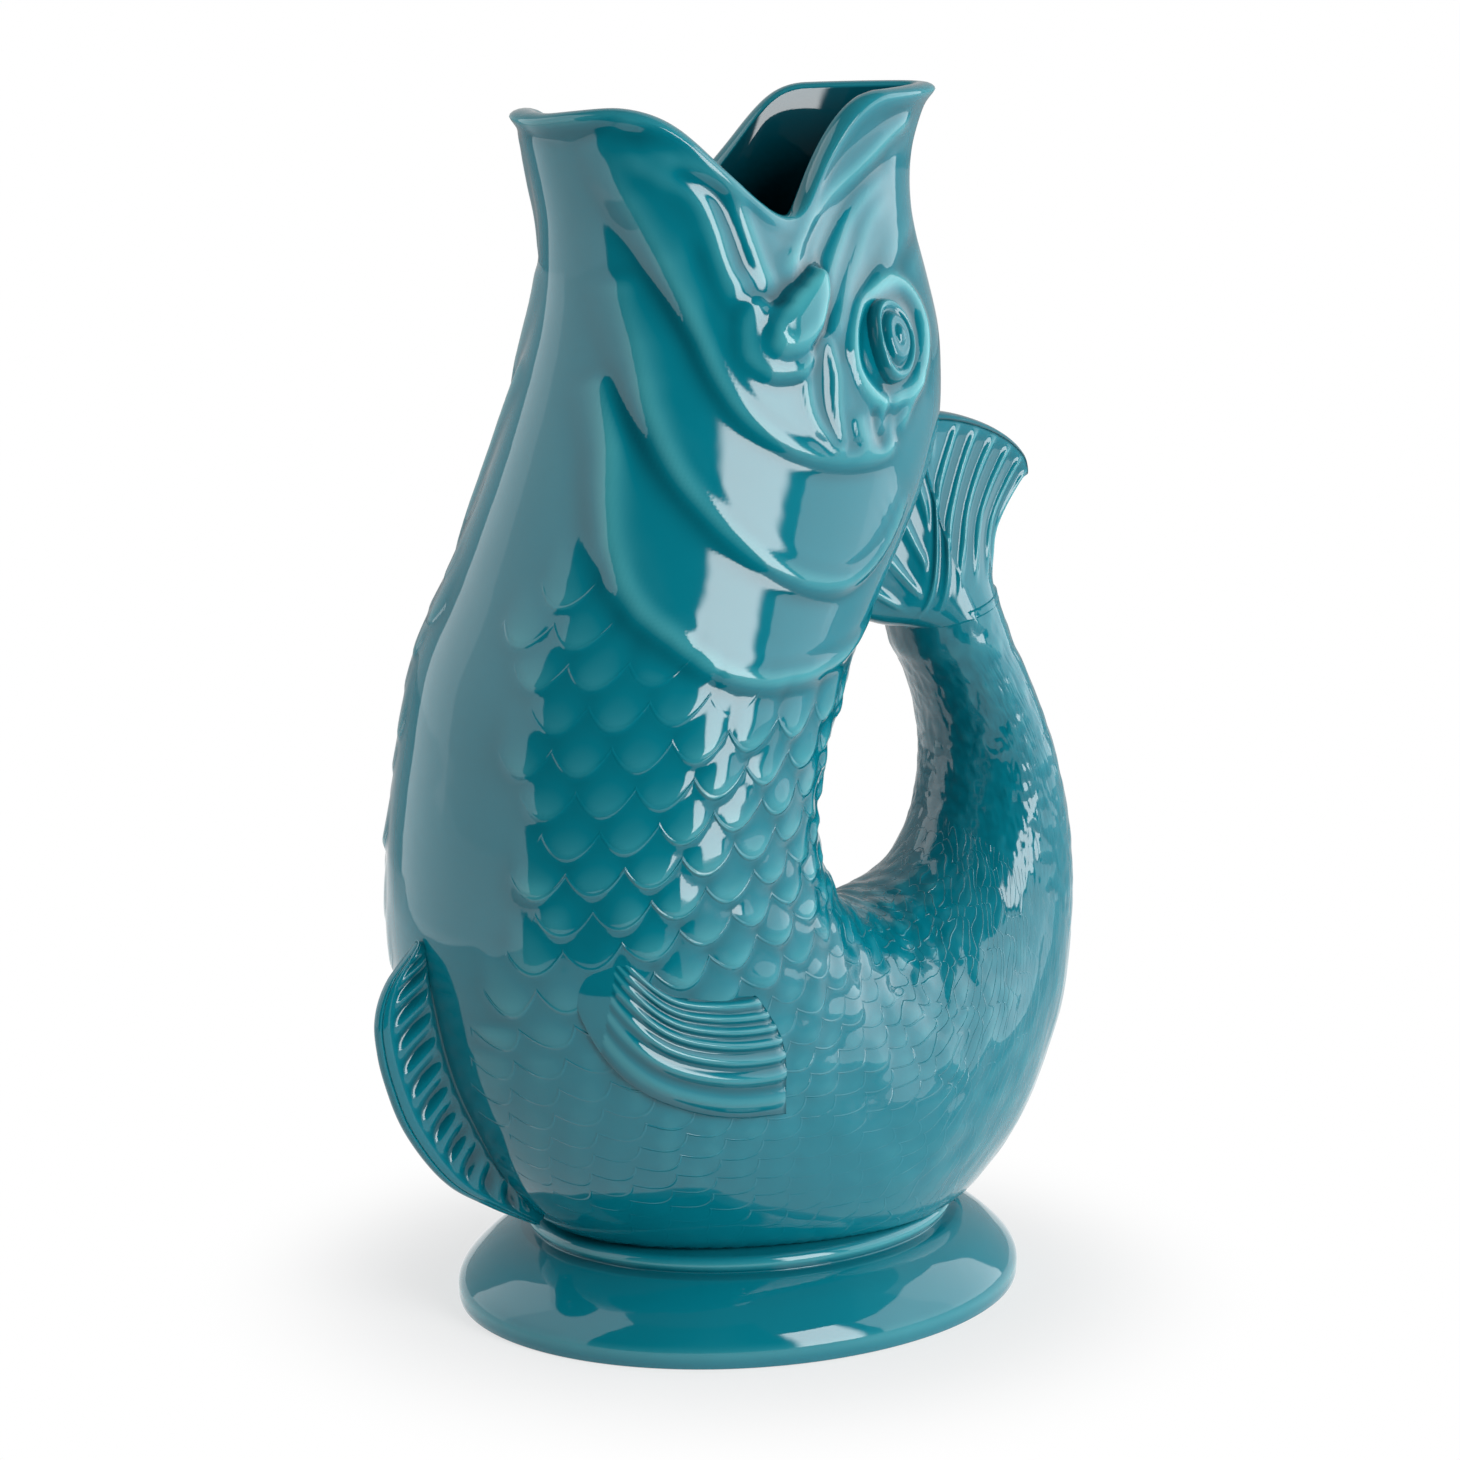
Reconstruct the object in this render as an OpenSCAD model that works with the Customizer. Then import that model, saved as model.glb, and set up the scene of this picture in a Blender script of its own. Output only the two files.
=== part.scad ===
// Gurgle jug: a slip-cast fish standing on its belly, mouth up, whose hollow tail
// curls up its own back as the handle and gulps air while the jug pours.
// Origin on the table under the middle of the whole jug, +Z up, lower lip toward -X.

/* [Jug] */
// height from the table to the top of the mouth
jug_h = 250; // [200:5:300]
// run of the fish, front of the belly to back of the tail
jug_l = 160; // [140:2:184]
// width of the trunk where it is fullest
jug_w = 91; // [80:1:110]
// how far the foot's own middle lies behind the middle of the whole jug
foot_x = 3.3; // [2:0.1:5]
// thickness of the cast clay wall
wall = 4.5; // [3:0.5:5.5]
// how far the mouth dips at the corners of the jaws
mouth_dip = 22; // [12:1:26]
// height of the rounded crest along the lip
lip_crest = 1.4; // [0.5:0.1:2.4]
// slip left between a sprigged piece and the body
luting = 0.2; // [0.1:0.05:0.3]

/* [Foot] */
// length of the standing foot
foot_l = 125; // [112:1:140]
// width of the standing foot
foot_w = 108; // [98:1:120]
// height of the seat on which the belly stands
foot_h = 19; // [17:0.5:21]
// length of the waist above the foot
waist_l = 92; // [84:1:98]
// width of the waist above the foot
waist_w = 80; // [74:1:86]
// upright edge round the bottom of the foot
foot_edge = 3.5; // [2:0.5:6]
// height of the bead at the waist
bead_h = 3; // [2:0.5:4]
// how far the bead stands out
bead_out = 1.2; // [0.4:0.2:2]
// width of the ring that touches the table
stand_ring = 6; // [4:0.5:8]
// clay left over the hollow under the foot
foot_roof = 5; // [4:0.5:6.5]

/* [Fins] */
// height of the fin down the front of the belly
keel_h = 13.5; // [8:0.5:16]
// height of the small fin behind the belly
anal_h = 6; // [3:0.5:8]
// thickness of the two belly fins at the root
fin_root = 6.4; // [5:0.2:8]
// thickness of the two belly fins at the edge
fin_edge = 2.6; // [2:0.2:4]
// thickness of the tail fin at its free edge
tail_edge = 10; // [8:0.5:12]
// depth of the flutes in the tail fin
flute = 1.1; // [0:0.1:1.6]
// thickness of the pectoral fins
pectoral_t = 3.2; // [2:0.2:4.5]
// thickness left round the edge of the pectoral fins
pectoral_edge = 0.8; // [0.6:0.1:1.2]
// depth of the rays in the pectoral fins
ray = 0.7; // [0:0.1:0.9]

/* [Eyes] */
// diameter of the lid ring round an eye
lid_d = 17; // [16:0.5:18]
// diameter of the eyeball
eye_d = 9.6; // [7:0.2:10]
// how far the eyeball stands out of the cheek
eye_t = 3.4; // [2:0.2:4.4]

/* [Relief] */
// how far the edge of a gill plate stands out
gill_t = 1.7; // [0.8:0.1:2.2]
// how far the edge of a trunk scale stands out
scale_t = 1.2; // [0.4:0.1:1.5]

/* [Hidden] */

// The fish is drawn by its throat-to-tail line and its back line, lip first.
// Each pair is a share of the run and a share of the height.
ventral_shares = [
    [-0.316, 1.000], [-0.297, 0.954], [-0.281, 0.906], [-0.281, 0.852], [-0.300, 0.798], [-0.341, 0.724],
    [-0.394, 0.640], [-0.450, 0.560], [-0.475, 0.472], [-0.491, 0.388], [-0.487, 0.304], [-0.438, 0.200],
    [-0.312, 0.092], [0.013, -0.028], [0.319, 0.052], [0.469, 0.156], [0.522, 0.248], [0.528, 0.344],
    [0.500, 0.428], [0.456, 0.500], [0.412, 0.556], [0.394, 0.600]
];
dorsal_shares = [
    [0.300, 1.006], [0.272, 0.958], [0.269, 0.910], [0.278, 0.854], [0.278, 0.800], [0.272, 0.732],
    [0.216, 0.660], [0.138, 0.592], [0.075, 0.516], [0.047, 0.444], [0.066, 0.384], [0.113, 0.340],
    [0.163, 0.320], [0.209, 0.318], [0.256, 0.328], [0.297, 0.348], [0.319, 0.380], [0.328, 0.418],
    [0.325, 0.456], [0.303, 0.494], [0.272, 0.530], [0.250, 0.580]
];
// half widths of the same stations as shares of half the trunk width
width_shares = [
    0.681, 0.659, 0.670, 0.725, 0.780, 0.824, 0.901, 0.967, 1.000, 1.000, 0.989,
    0.967, 0.923, 0.912, 0.758, 0.582, 0.473, 0.418, 0.385, 0.352, 0.319, 0.286
];

// where the tail takes over from the body, and where it and its bore are closed off,
// as shares of the way along the stations
tail_start_share = 0.762;
tail_end_share = 0.976;
bore_end_share = 0.943;
// station rows and points round a section; carved rows have twice the points, and the
// rows inside lie closer from floor_from_share of the way down to the tail
upper_rows = 10;
floor_rows = 20;
floor_from_share = 0.625;
belly_rows = 14;
tail_rows = 10;
around = 48;

seat_z = foot_h;
last_row = len(ventral_shares) - 1;
tail_start = tail_start_share * last_row;
tail_end = tail_end_share * last_row;
bore_end = bore_end_share * last_row;
lip_step = (ventral_shares[0][1] - ventral_shares[1][1]) * jug_h;
dip_rows = mouth_dip / lip_step;

function blend(a, b, t) = a + (b - a) * t;
function ease(t) = let (s = min(1, max(0, t))) s * s * (3 - 2 * s);
function curve(p0, p1, p2, p3, f) =
    (2 * p1 + (p2 - p0) * f + (2 * p0 - 5 * p1 + 4 * p2 - p3) * f * f
        + (3 * p1 - p0 - 3 * p2 + p3) * f * f * f) / 2;
function along(t, v) =
    let (n = len(t), i = min(max(floor(v), 0), n - 2))
    curve(t[max(i - 1, 0)], t[i], t[i + 1], t[min(i + 2, n - 1)], v - i);

function belly_line(v) = let (s = along(ventral_shares, v)) [s[0] * jug_l + foot_x, s[1] * jug_h];
function back_line(v) = let (s = along(dorsal_shares, v)) [s[0] * jug_l + foot_x, s[1] * jug_h];

// the upper jaw narrows to a point, so its half of a section is pinched
function pinch(v, u) =
    let (c = cos(u), jaw = 0.42 * ease(c + 0.6) + 0.2 * pow(max(c, 0), 4))
    1 - jaw * (1 - ease((v - 1.6) / 2.6));

// the mouth line: station rows lost to the dip at the corners of the jaws
function dip(u) =
    let (c = cos(u) + 0.08, d = min(1, c < 0 ? -c / 0.8 : c / 0.66))
    dip_rows * pow(cos(90 * d), 2);
function lipped(v, u) = v + dip(u) * min(1, max(0, 1 - v / 5));

// a point of the fish: u turns from the back (0) to the throat (180)
function skin(v, u, inset = 0) =
    let (o = belly_line(v), i = back_line(v), h = (i - o) / 2, r = norm(h),
         m = (o + i) / 2 + h / r * (r - inset) * cos(u),
         y = (along(width_shares, v) * jug_w / 2 * pinch(v, u) - inset) * sin(u))
    [m[0], y, max(m[1], seat_z + inset)];
function raised(v, u, rise) = skin(v, u) + outward(v, u) * rise;
function skin_ring(v, inset = 0) =
    [for (k = [0 : around - 1]) let (u = 360 * k / around) skin(lipped(v, u), u, inset)];
function outward(v, u) =
    let (e = 0.02, a = skin(v, u + 1) - skin(v, u - 1), b = skin(v + e, u) - skin(v - e, u),
         n = cross(b, a))
    n / norm(n);

// facets between two closed rings of n points that start at a and at b
function band(a, b, n) =
    [for (k = [0 : n - 1]) let (m = (k + 1) % n) each [[a + k, b + m, a + m], [a + k, b + k, b + m]]];
function flat(rings) = [for (r = rings) each r];

// facets between rings of n and m points, where one may have twice the other's
function lace(a, n, b, m) =
    n == m ? band(a, b, n)
    : n < m ? [for (k = [0 : n - 1]) let (c = (k + 1) % n, f = b + 2 * k, l = b + (2 * k + 2) % m)
        each [[a + k, f, f + 1], [a + k, f + 1, a + c], [a + c, f + 1, l]]]
    : [for (k = [0 : m - 1]) let (c = (k + 1) % m, f = a + 2 * k, l = a + (2 * k + 2) % n)
        each [[f, b + k, f + 1], [f + 1, b + k, b + c], [f + 1, b + c, l]]];

// a wall whose rings run up the outside, over the lip and down the inside
module looped(rings) {
    m = len(rings);
    starts = [for (i = 0, at = 0; i <= m; at = at + len(rings[min(i, m - 1)]), i = i + 1) at];
    polyhedron(
        points = flat(rings),
        faces = [for (i = [0 : m - 1]) let (j = (i + 1) % m)
            each lace(starts[i], len(rings[i]), starts[j], len(rings[j]))],
        convexity = 8);
}

// a run of rings closed by a point at each end
module capped(rings, first, last) {
    n = len(rings[0]);
    m = len(rings);
    polyhedron(
        points = concat(flat(rings), [first, last]),
        faces = concat(
            [for (i = [0 : m - 2]) each band(i * n, (i + 1) * n, n)],
            [for (k = [0 : n - 1]) [m * n, k, (k + 1) % n]],
            [for (k = [0 : n - 1]) [m * n + 1, (m - 1) * n + (k + 1) % n, (m - 1) * n + k]]),
        convexity = 8);
}

// A fin: rings run from root to edge, each closed across its middle line.
// Ring point 0 and ring point h lie on the fin's own plane.
function middle(first, base, h, j) = j == 0 ? first : j == h ? first + h : base + j - 1;
function half_cap(first, base, h, n, side) =
    [for (j = [0 : h - 1])
        let (p = first + (side > 0 ? j : (n - j) % n), q = first + (side > 0 ? j + 1 : n - j - 1),
             c = middle(first, base, h, j), d = middle(first, base, h, j + 1))
        each concat(j < h - 1 ? [[p, q, d]] : [], j > 0 ? [[p, d, c]] : [])];
function turned(faces) = [for (f = faces) [f[0], f[2], f[1]]];
module finned(rings, root_line, edge_line) {
    n = len(rings[0]);
    m = len(rings);
    h = n / 2;
    root_base = m * n;
    edge_base = root_base + h - 1;
    top = (m - 1) * n;
    polyhedron(
        points = concat(flat(rings), root_line, edge_line),
        faces = concat(
            [for (i = [0 : m - 2]) each band(i * n, (i + 1) * n, n)],
            half_cap(0, root_base, h, n, 1),
            turned(half_cap(0, root_base, h, n, -1)),
            turned(half_cap(top, edge_base, h, n, 1)),
            half_cap(top, edge_base, h, n, -1)),
        convexity = 8);
}

// inward share and upward share of the skirt's bell outline
skirt_shares = [[0.03, 0], [0.10, 0.08], [0.24, 0.30], [0.42, 0.56], [0.62, 0.80], [0.82, 0.94], [1, 1]];
module foot() {
    foot_rows = 48;
    l = foot_l / 2;
    w = foot_w / 2;
    lw = waist_l / 2;
    ww = waist_w / 2;
    rise = foot_h - foot_edge - bead_h;
    in_l = l - stand_ring;
    in_w = w - stand_ring;
    roof = foot_h - foot_roof;
    roof_l = lw - foot_roof;
    roof_w = ww - foot_roof;
    // half length, half width and height of each ring, underside first
    profile = concat(
        [[roof_l / 4, roof_w / 4, roof], [roof_l * 0.85, roof_w * 0.85, roof]],
        [[blend(roof_l, in_l, 0.4), blend(roof_w, in_w, 0.4), roof * 0.66], [in_l, in_w, 0]],
        [[l - foot_edge / 4, w - foot_edge / 4, 0], [l, w, foot_edge / 4]],
        [for (s = skirt_shares)
            [blend(l, lw, s[0]), blend(w, ww, s[0]), foot_edge + rise * s[1]]],
        [[lw + bead_out, ww + bead_out, foot_h - bead_h / 2], [lw, ww, foot_h]]);
    rings = [for (p = profile)
        [for (k = [0 : foot_rows - 1]) let (u = 360 * k / foot_rows)
            [foot_x + p[0] * cos(u), p[1] * sin(u), p[2]]]];
    color([0.05, 0.42, 0.48]) capped(rings, [foot_x, 0, roof], [foot_x, 0, foot_h]);
}

// Gill plates, foremost first, at every 15 degrees from the back round to the throat:
// where the free edge lies along the stations, and how much of its height it has there.
gill_shares = [
    [0.219, 0.221, 0.226, 0.231, 0.236, 0.244, 0.243, 0.231, 0.208, 0.150, 0.095, 0.086, 0.086],
    [0.276, 0.279, 0.283, 0.288, 0.295, 0.306, 0.296, 0.281, 0.260, 0.229, 0.143, 0.129, 0.129],
    [0.324, 0.326, 0.336, 0.345, 0.348, 0.346, 0.340, 0.324, 0.306, 0.283, 0.248, 0.162, 0.162]
];
gill_rise_shares = [
    [0, 0, 0, 0, 0, 0.2, 0.9, 1, 1, 1, 0.3, 0, 0],
    [0, 0, 0, 0, 0.4, 1, 1, 1, 1, 1, 0.6, 0, 0],
    [0, 0, 0.6, 1, 1, 1, 1, 1, 1, 1, 1, 0.2, 0]
];
// trunk scales: first row, length of a row and width of a lap along the stations,
// and how much of their height they have, on the upper rows and beside the fin
scale_start_share = 0.3548;
scale_row_share = 0.0183;
lap_share = 0.0024;
scale_rise_shares = [
    [0, 0, 0.7, 1, 1, 1, 1, 1, 1, 1, 0.1, 0, 0],
    [0, 0, 0.7, 1, 1, 0.6, 0, 0, 0, 0, 0, 0, 0]
];
free_scale_rows = 5;
scale_rows = 7;
// points round the widest part of one scale, and how square its free edge is
scale_points = 4;
scale_power = 2.3;

// a value at one turn from a table that runs from the back (0) to the throat (180)
function by_turn(t, u) = let (f = u > 180 ? 360 - u : u) along(t, f / 180 * (len(t) - 1));
function gill_edge(p, u) = last_row * by_turn(gill_shares[p], u);
function gill_rise(p, u) = gill_t * max(0, by_turn(gill_rise_shares[p], u));

// how far down its row the free edge of a scale lies: 1 in its middle, near 0 at its sides
function scallop(row, k) =
    let (c = k / scale_points + (row % 2) / 2, d = 2 * abs(c - round(c)))
    0.15 + 0.85 * pow(max(0, 1 - pow(d, scale_power)), 1 / scale_power);
// a scale's edge ring: over its edge (below = 0), or on the scale under it (below = 1)
function scale_ring(row, below) =
    [for (k = [0 : 2 * around - 1])
        let (u = 180 * k / around, s = scallop(row, k),
             v = last_row * (scale_start_share + scale_row_share * (row + s) + lap_share * below),
             full = max(0, by_turn(scale_rise_shares[row < free_scale_rows ? 0 : 1], u)))
        raised(v, u, scale_t * full * (below == 1 ? 0.35 * s : 0.55 + 0.45 * s))];

module body() {
    lap = lap_share * last_row;
    first_scale = scale_start_share * last_row;
    last_scale = (scale_start_share + scale_row_share * scale_rows) * last_row;
    floor_from = floor_from_share * tail_start;
    lift = [0, 0, lip_crest];
    function plain(s, u) = blend(lipped(0, u), gill_edge(0, u), s);
    crest = [for (k = [0 : around - 1])
        let (u = 360 * k / around, v = lipped(0, u)) (skin(v, u) + skin(v, u, wall)) / 2 + lift];
    // from the lip to the first gill edge
    head = concat(
        [for (s = [0, 0.22, 0.44, 0.66])
            [for (k = [0 : around - 1]) let (u = 360 * k / around) skin(plain(s, u), u)]],
        [[for (k = [0 : 2 * around - 1]) let (u = 180 * k / around) skin(plain(0.85, u), u)]]);
    // each plate rises to its edge, and laps over the next
    gills = [for (p = [0 : 2]) each concat(
        [for (s = p == 0 ? [1] : [0.4, 0.75, 1])
            [for (k = [0 : 2 * around - 1])
                let (u = 180 * k / around, v1 = gill_edge(p, u),
                     v = p == 0 ? v1 : blend(gill_edge(p - 1, u) + lap, v1, s))
                raised(v, u, gill_rise(p, u) * s * s)]],
        [[for (k = [0 : 2 * around - 1])
            let (u = 180 * k / around) skin(gill_edge(p, u) + lap, u)]])];
    shoulder = [for (s = [0.25, 0.5, 0.75, 1])
        [for (k = [0 : 2 * around - 1])
            let (u = 180 * k / around) skin(blend(gill_edge(2, u) + lap, first_scale, s), u)]];
    scales = [for (r = [0 : scale_rows - 1]) each [scale_ring(r, 0), scale_ring(r, 1)]];
    belly = [for (k = [1 : belly_rows]) skin_ring(blend(last_scale, tail_start, k / belly_rows))];
    outside = concat(head, gills, shoulder, scales, belly);
    m = len(outside);
    color([0.06, 0.46, 0.52])
        looped(concat(
            [for (i = [m - 1 : -1 : 0]) outside[i]],
            [crest],
            [for (k = [0 : upper_rows]) skin_ring(floor_from * k / upper_rows, wall)],
            [for (k = [1 : floor_rows]) skin_ring(blend(floor_from, tail_start, k / floor_rows), wall)]));
}

module tail_handle() {
    outside = [for (k = [0 : tail_rows]) blend(tail_start, tail_end, k / tail_rows)];
    inside = [for (k = [0 : tail_rows]) blend(bore_end, tail_start, k / tail_rows)];
    closed = (belly_line(tail_end) + back_line(tail_end)) / 2;
    blind = (belly_line(bore_end) + back_line(bore_end)) / 2;
    color([0.08, 0.48, 0.54])
        capped(
            concat([for (v = inside) skin_ring(v, wall)], [for (v = outside) skin_ring(v)]),
            [blind[0], 0, blind[1]], [closed[0], 0, closed[1]]);
}

// the free edge of the tail fin, from the nape round to its outer corner
tail_edge_shares = [[0.2750, 0.7280], [0.3250, 0.7260], [0.3750, 0.7200], [0.4250, 0.7080],
                    [0.4600, 0.6940], [0.4780, 0.6780]];
// the share of that edge that lies on the nape, and where on the back it starts and stops
tail_nape_share = 0.46;
nape_low_share = 0.348;
nape_top_share = 0.24;

// a back-line point of the body with the slip's thickness under it
function on_nape(v, y) =
    let (b = along(width_shares, v) * jug_w / 2, u = asin(max(-1, min(1, y / b))))
    skin(v, u) + outward(v, u) * luting;
function tail_edge_point(f, y) =
    f < tail_nape_share
        ? on_nape(last_row * blend(nape_low_share, nape_top_share, f / tail_nape_share), y)
        : let (s = along(tail_edge_shares, (f - tail_nape_share) / (1 - tail_nape_share) * 5))
          [s[0] * jug_l + foot_x, y, s[1] * jug_h];

module tail_fin() {
    n = 96;
    steps = 6;
    rays = 8;
    start = [for (k = [0 : n - 1]) skin(tail_end, 360 * k / n)];
    edge = [for (k = [0 : n - 1])
        let (u = 360 * k / n, f = (1 - cos(u)) / 2,
             groove = f > tail_nape_share ? flute * (1 - cos(360 * rays * f)) / 2 : 0,
             y = (tail_edge / 2 - groove) * sign(sin(u)) * pow(abs(sin(u)), 0.4))
        tail_edge_point(f, y)];
    rings = [for (i = [0 : steps]) [for (k = [0 : n - 1]) blend(start[k], edge[k], i / steps)]];
    root_line = [for (k = [1 : n / 2 - 1])
        let (u = 360 * k / n) (skin(tail_end, u) + skin(tail_end, -u)) / 2];
    edge_line = [for (k = [1 : n / 2 - 1]) tail_edge_point((1 - cos(360 * k / n)) / 2, 0)];
    color([0.10, 0.52, 0.57]) finned(rings, root_line, edge_line);
}

// a belly-line point of the body with the slip's thickness under it
function on_belly(v, y) =
    let (b = along(width_shares, v) * jug_w / 2, u = 180 - asin(max(-1, min(1, y / b))))
    skin(v, u) + outward(v, u) * luting;
// a fin along the belly line, its height given as shares of the full height
module belly_web(reach_shares, height, height_shares, n) {
    steps = 3;
    v0 = reach_shares[0] * last_row;
    v1 = reach_shares[1] * last_row;
    function foot_of(f, y) = on_belly(blend(v0, v1, f), y);
    function edge_of(f, y) =
        let (v = blend(v0, v1, f), away = belly_line(v) - back_line(v), a = away / norm(away),
             q = height * along(height_shares, f * (len(height_shares) - 1)), p = foot_of(f, 0))
        [p[0] + a[0] * q, y, p[2] + a[1] * q];
    function sweep(k, t, p) = let (u = 360 * k / n) t / 2 * sign(sin(u)) * pow(abs(sin(u)), p);
    root = [for (k = [0 : n - 1]) foot_of((1 - cos(360 * k / n)) / 2, sweep(k, fin_root, 0.5))];
    edge = [for (k = [0 : n - 1]) edge_of((1 - cos(360 * k / n)) / 2, sweep(k, fin_edge, 0.5))];
    rings = [for (i = [0 : steps]) [for (k = [0 : n - 1]) blend(root[k], edge[k], i / steps)]];
    finned(rings,
        [for (k = [1 : n / 2 - 1]) foot_of((1 - cos(360 * k / n)) / 2, 0)],
        [for (k = [1 : n / 2 - 1]) edge_of((1 - cos(360 * k / n)) / 2, 0)]);
}

belly_reach_shares = [0.452, 0.571];
belly_rise_shares = [0.08, 0.62, 0.92, 1, 1, 0.98, 0.9, 0.72, 0.4, 0.15];
module belly_fin() {
    color([0.09, 0.50, 0.56]) belly_web(belly_reach_shares, keel_h, belly_rise_shares, 48);
}

anal_reach_shares = [0.731, 0.679];
anal_rise_shares = [0.12, 0.7, 1, 1, 0.75, 0.3];
module anal_fin() {
    color([0.09, 0.50, 0.56]) belly_web(anal_reach_shares, anal_h, anal_rise_shares, 28);
}

// Upper and lower margin of a pectoral fin, root first: share of the way along the
// stations and share of the way round from the back to the throat.
pectoral_upper_shares = [[0.4495, 0.6861], [0.4657, 0.6472], [0.4810, 0.6056],
    [0.4905, 0.5500], [0.4981, 0.4889]];
pectoral_lower_shares = [[0.4533, 0.7472], [0.4857, 0.7333], [0.5167, 0.6917],
    [0.5429, 0.6194], [0.5643, 0.5389]];
module pectoral_fin() {
    long_rows = 14;
    wide_rows = 10;
    function spot(r, f) =
        let (a = along(pectoral_upper_shares, r * 4), b = along(pectoral_lower_shares, r * 4),
             p = blend(a, b, f))
        [p[0] * last_row, p[1] * 180 - 5 * sin(180 * f) * r];
    function thick(r, f) =
        let (side = sin(180 * f) * ease(r * 5) * ease((1 - r) * 5 + 0.35))
        pectoral_edge + (pectoral_t - pectoral_edge - ray * (1 - cos(360 * 5 * f)) / 2)
            * pow(max(side, 0), 0.5);
    function at(r, f, up) =
        let (s = spot(r, f), u = s[1]) skin(s[0], u) + outward(s[0], u) * (luting + up * thick(r, f));
    rings = [for (i = [0 : long_rows])
        concat(
            [for (j = [0 : wide_rows]) at(i / long_rows, j / wide_rows, 1)],
            [for (j = [wide_rows : -1 : 0]) at(i / long_rows, j / wide_rows, 0)])];
    n = 2 * (wide_rows + 1);
    last = long_rows * n;
    function end(base) = [for (j = [0 : wide_rows - 1])
        each [[base + j, base + j + 1, base + n - 2 - j], [base + j, base + n - 2 - j, base + n - 1 - j]]];
    color([0.09, 0.50, 0.56])
        polyhedron(
            points = flat(rings),
            faces = concat(
                [for (i = [0 : long_rows - 1]) each turned(band(i * n, (i + 1) * n, n))],
                turned(end(0)), end(last)),
            convexity = 6);
}

module pectoral_fin_left() {
    mirror([0, 1, 0]) pectoral_fin();
}

module pectoral_fin_right() {
    pectoral_fin();
}

// where the middle of an eye lies, in the same shares
eye_place_shares = [0.179, 0.375];
// outline of an eye, lid edge to crown: share of the lid's radius and share of the height
eye_shares = [[1, 0.16], [0.93, 0.50], [0.84, 0.62], [0.73, 0.46], [0.65, 0.26]];
ball_shares = [[1, 0.36], [0.86, 0.66], [0.58, 0.90], [0.28, 0.99]];
module eye() {
    spokes = 28;
    lid_r = lid_d / 2;
    ball_r = eye_d / 2;
    e = 0.05;
    v0 = eye_place_shares[0] * last_row;
    u0 = eye_place_shares[1] * 180;
    mid = skin(v0, u0);
    per_v = norm(skin(v0 + e, u0) - mid) / e;
    per_u = norm(skin(v0, u0 + e) - mid) / e;
    function at(r, a, up) =
        let (v = v0 + r * sin(a) / per_v, u = u0 + r * cos(a) / per_u)
        skin(v, u) + outward(v, u) * (luting + up);
    function round_at(r, up) = [for (k = [0 : spokes - 1]) at(r, 360 * k / spokes, up)];
    color([0.12, 0.55, 0.60])
        capped(
            concat(
                [for (s = [0.35, 0.7, 1]) round_at(lid_r * s, 0)],
                [for (s = eye_shares) round_at(lid_r * s[0], eye_t * s[1])],
                [for (s = ball_shares) round_at(ball_r * s[0], eye_t * s[1])]),
            at(0, 0, 0), at(0, 0, eye_t));
}

module eye_left() {
    mirror([0, 1, 0]) eye();
}

module eye_right() {
    eye();
}

foot();
body();
tail_handle();
tail_fin();
pectoral_fin_left();
pectoral_fin_right();
belly_fin();
anal_fin();
eye_left();
eye_right();
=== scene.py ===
"""A slip-cast, teal-glazed gurgle jug: a fish that stands on its belly on an oval foot."""
import bpy
import numpy as np
from numpy import clip, concatenate, cos, interp, linspace, pi, radians, sin, stack
from numpy.linalg import norm
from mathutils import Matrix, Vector


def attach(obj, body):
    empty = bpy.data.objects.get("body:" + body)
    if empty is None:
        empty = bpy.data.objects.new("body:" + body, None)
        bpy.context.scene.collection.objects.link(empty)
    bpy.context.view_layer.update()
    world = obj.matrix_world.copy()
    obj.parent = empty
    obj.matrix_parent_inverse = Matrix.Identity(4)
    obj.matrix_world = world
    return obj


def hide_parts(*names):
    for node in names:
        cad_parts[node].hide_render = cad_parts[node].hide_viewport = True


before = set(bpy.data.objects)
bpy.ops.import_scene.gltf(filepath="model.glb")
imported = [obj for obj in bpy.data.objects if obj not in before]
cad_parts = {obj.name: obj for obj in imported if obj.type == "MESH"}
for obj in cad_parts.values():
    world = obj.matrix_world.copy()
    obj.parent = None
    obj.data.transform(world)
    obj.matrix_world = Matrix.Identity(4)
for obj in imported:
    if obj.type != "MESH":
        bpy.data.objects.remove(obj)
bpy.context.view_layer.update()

# Camera
# A long lens from the fish's left, a little in front and just above the mouth. Lens and
# shift give the photograph's square frame.
photo_size, sensor_width = 1460, 36
lens_pixels, shift_pixels = 4560, (-10, -9)
lens_at = Vector((-0.5433, -0.7524, 0.322))
looks_at = Vector((0.0033, 0, 0.122))
scene = bpy.context.scene


def placed(name, data):
    """A new object in the scene."""
    item = bpy.data.objects.new(name, data)
    scene.collection.objects.link(item)
    return item


camera_data = bpy.data.cameras.new("camera")
camera_data.sensor_width = sensor_width
camera_data.lens = lens_pixels / photo_size * sensor_width
camera_data.shift_x, camera_data.shift_y = (pixels / photo_size for pixels in shift_pixels)
camera = placed("camera", camera_data)
camera.location = lens_at
camera.rotation_euler = (looks_at - lens_at).to_track_quat("-Z", "Y").to_euler()
scene.camera = camera
scene.view_settings.view_transform = "Standard"

# Studio
# A pale table top that runs back to a white sweep, a white panel close on the left, a
# tall bright softbox in front on the right with a dimmer diffuser beside it.
floor_half, sweep_away, sweep_high = 2600, 2300, 2600
# metres from the jug's middle over which the table turns white to the camera and over which
# it dims for the glaze, and the share of it that the glaze still sees beyond
table_whitens, table_dims, dimmed_share = (0.05, 0.12), (0.36, 0.5), 0.15
# share of a light's height over which it climbs from at_table to its full strength
light_climb = 0.26


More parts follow.
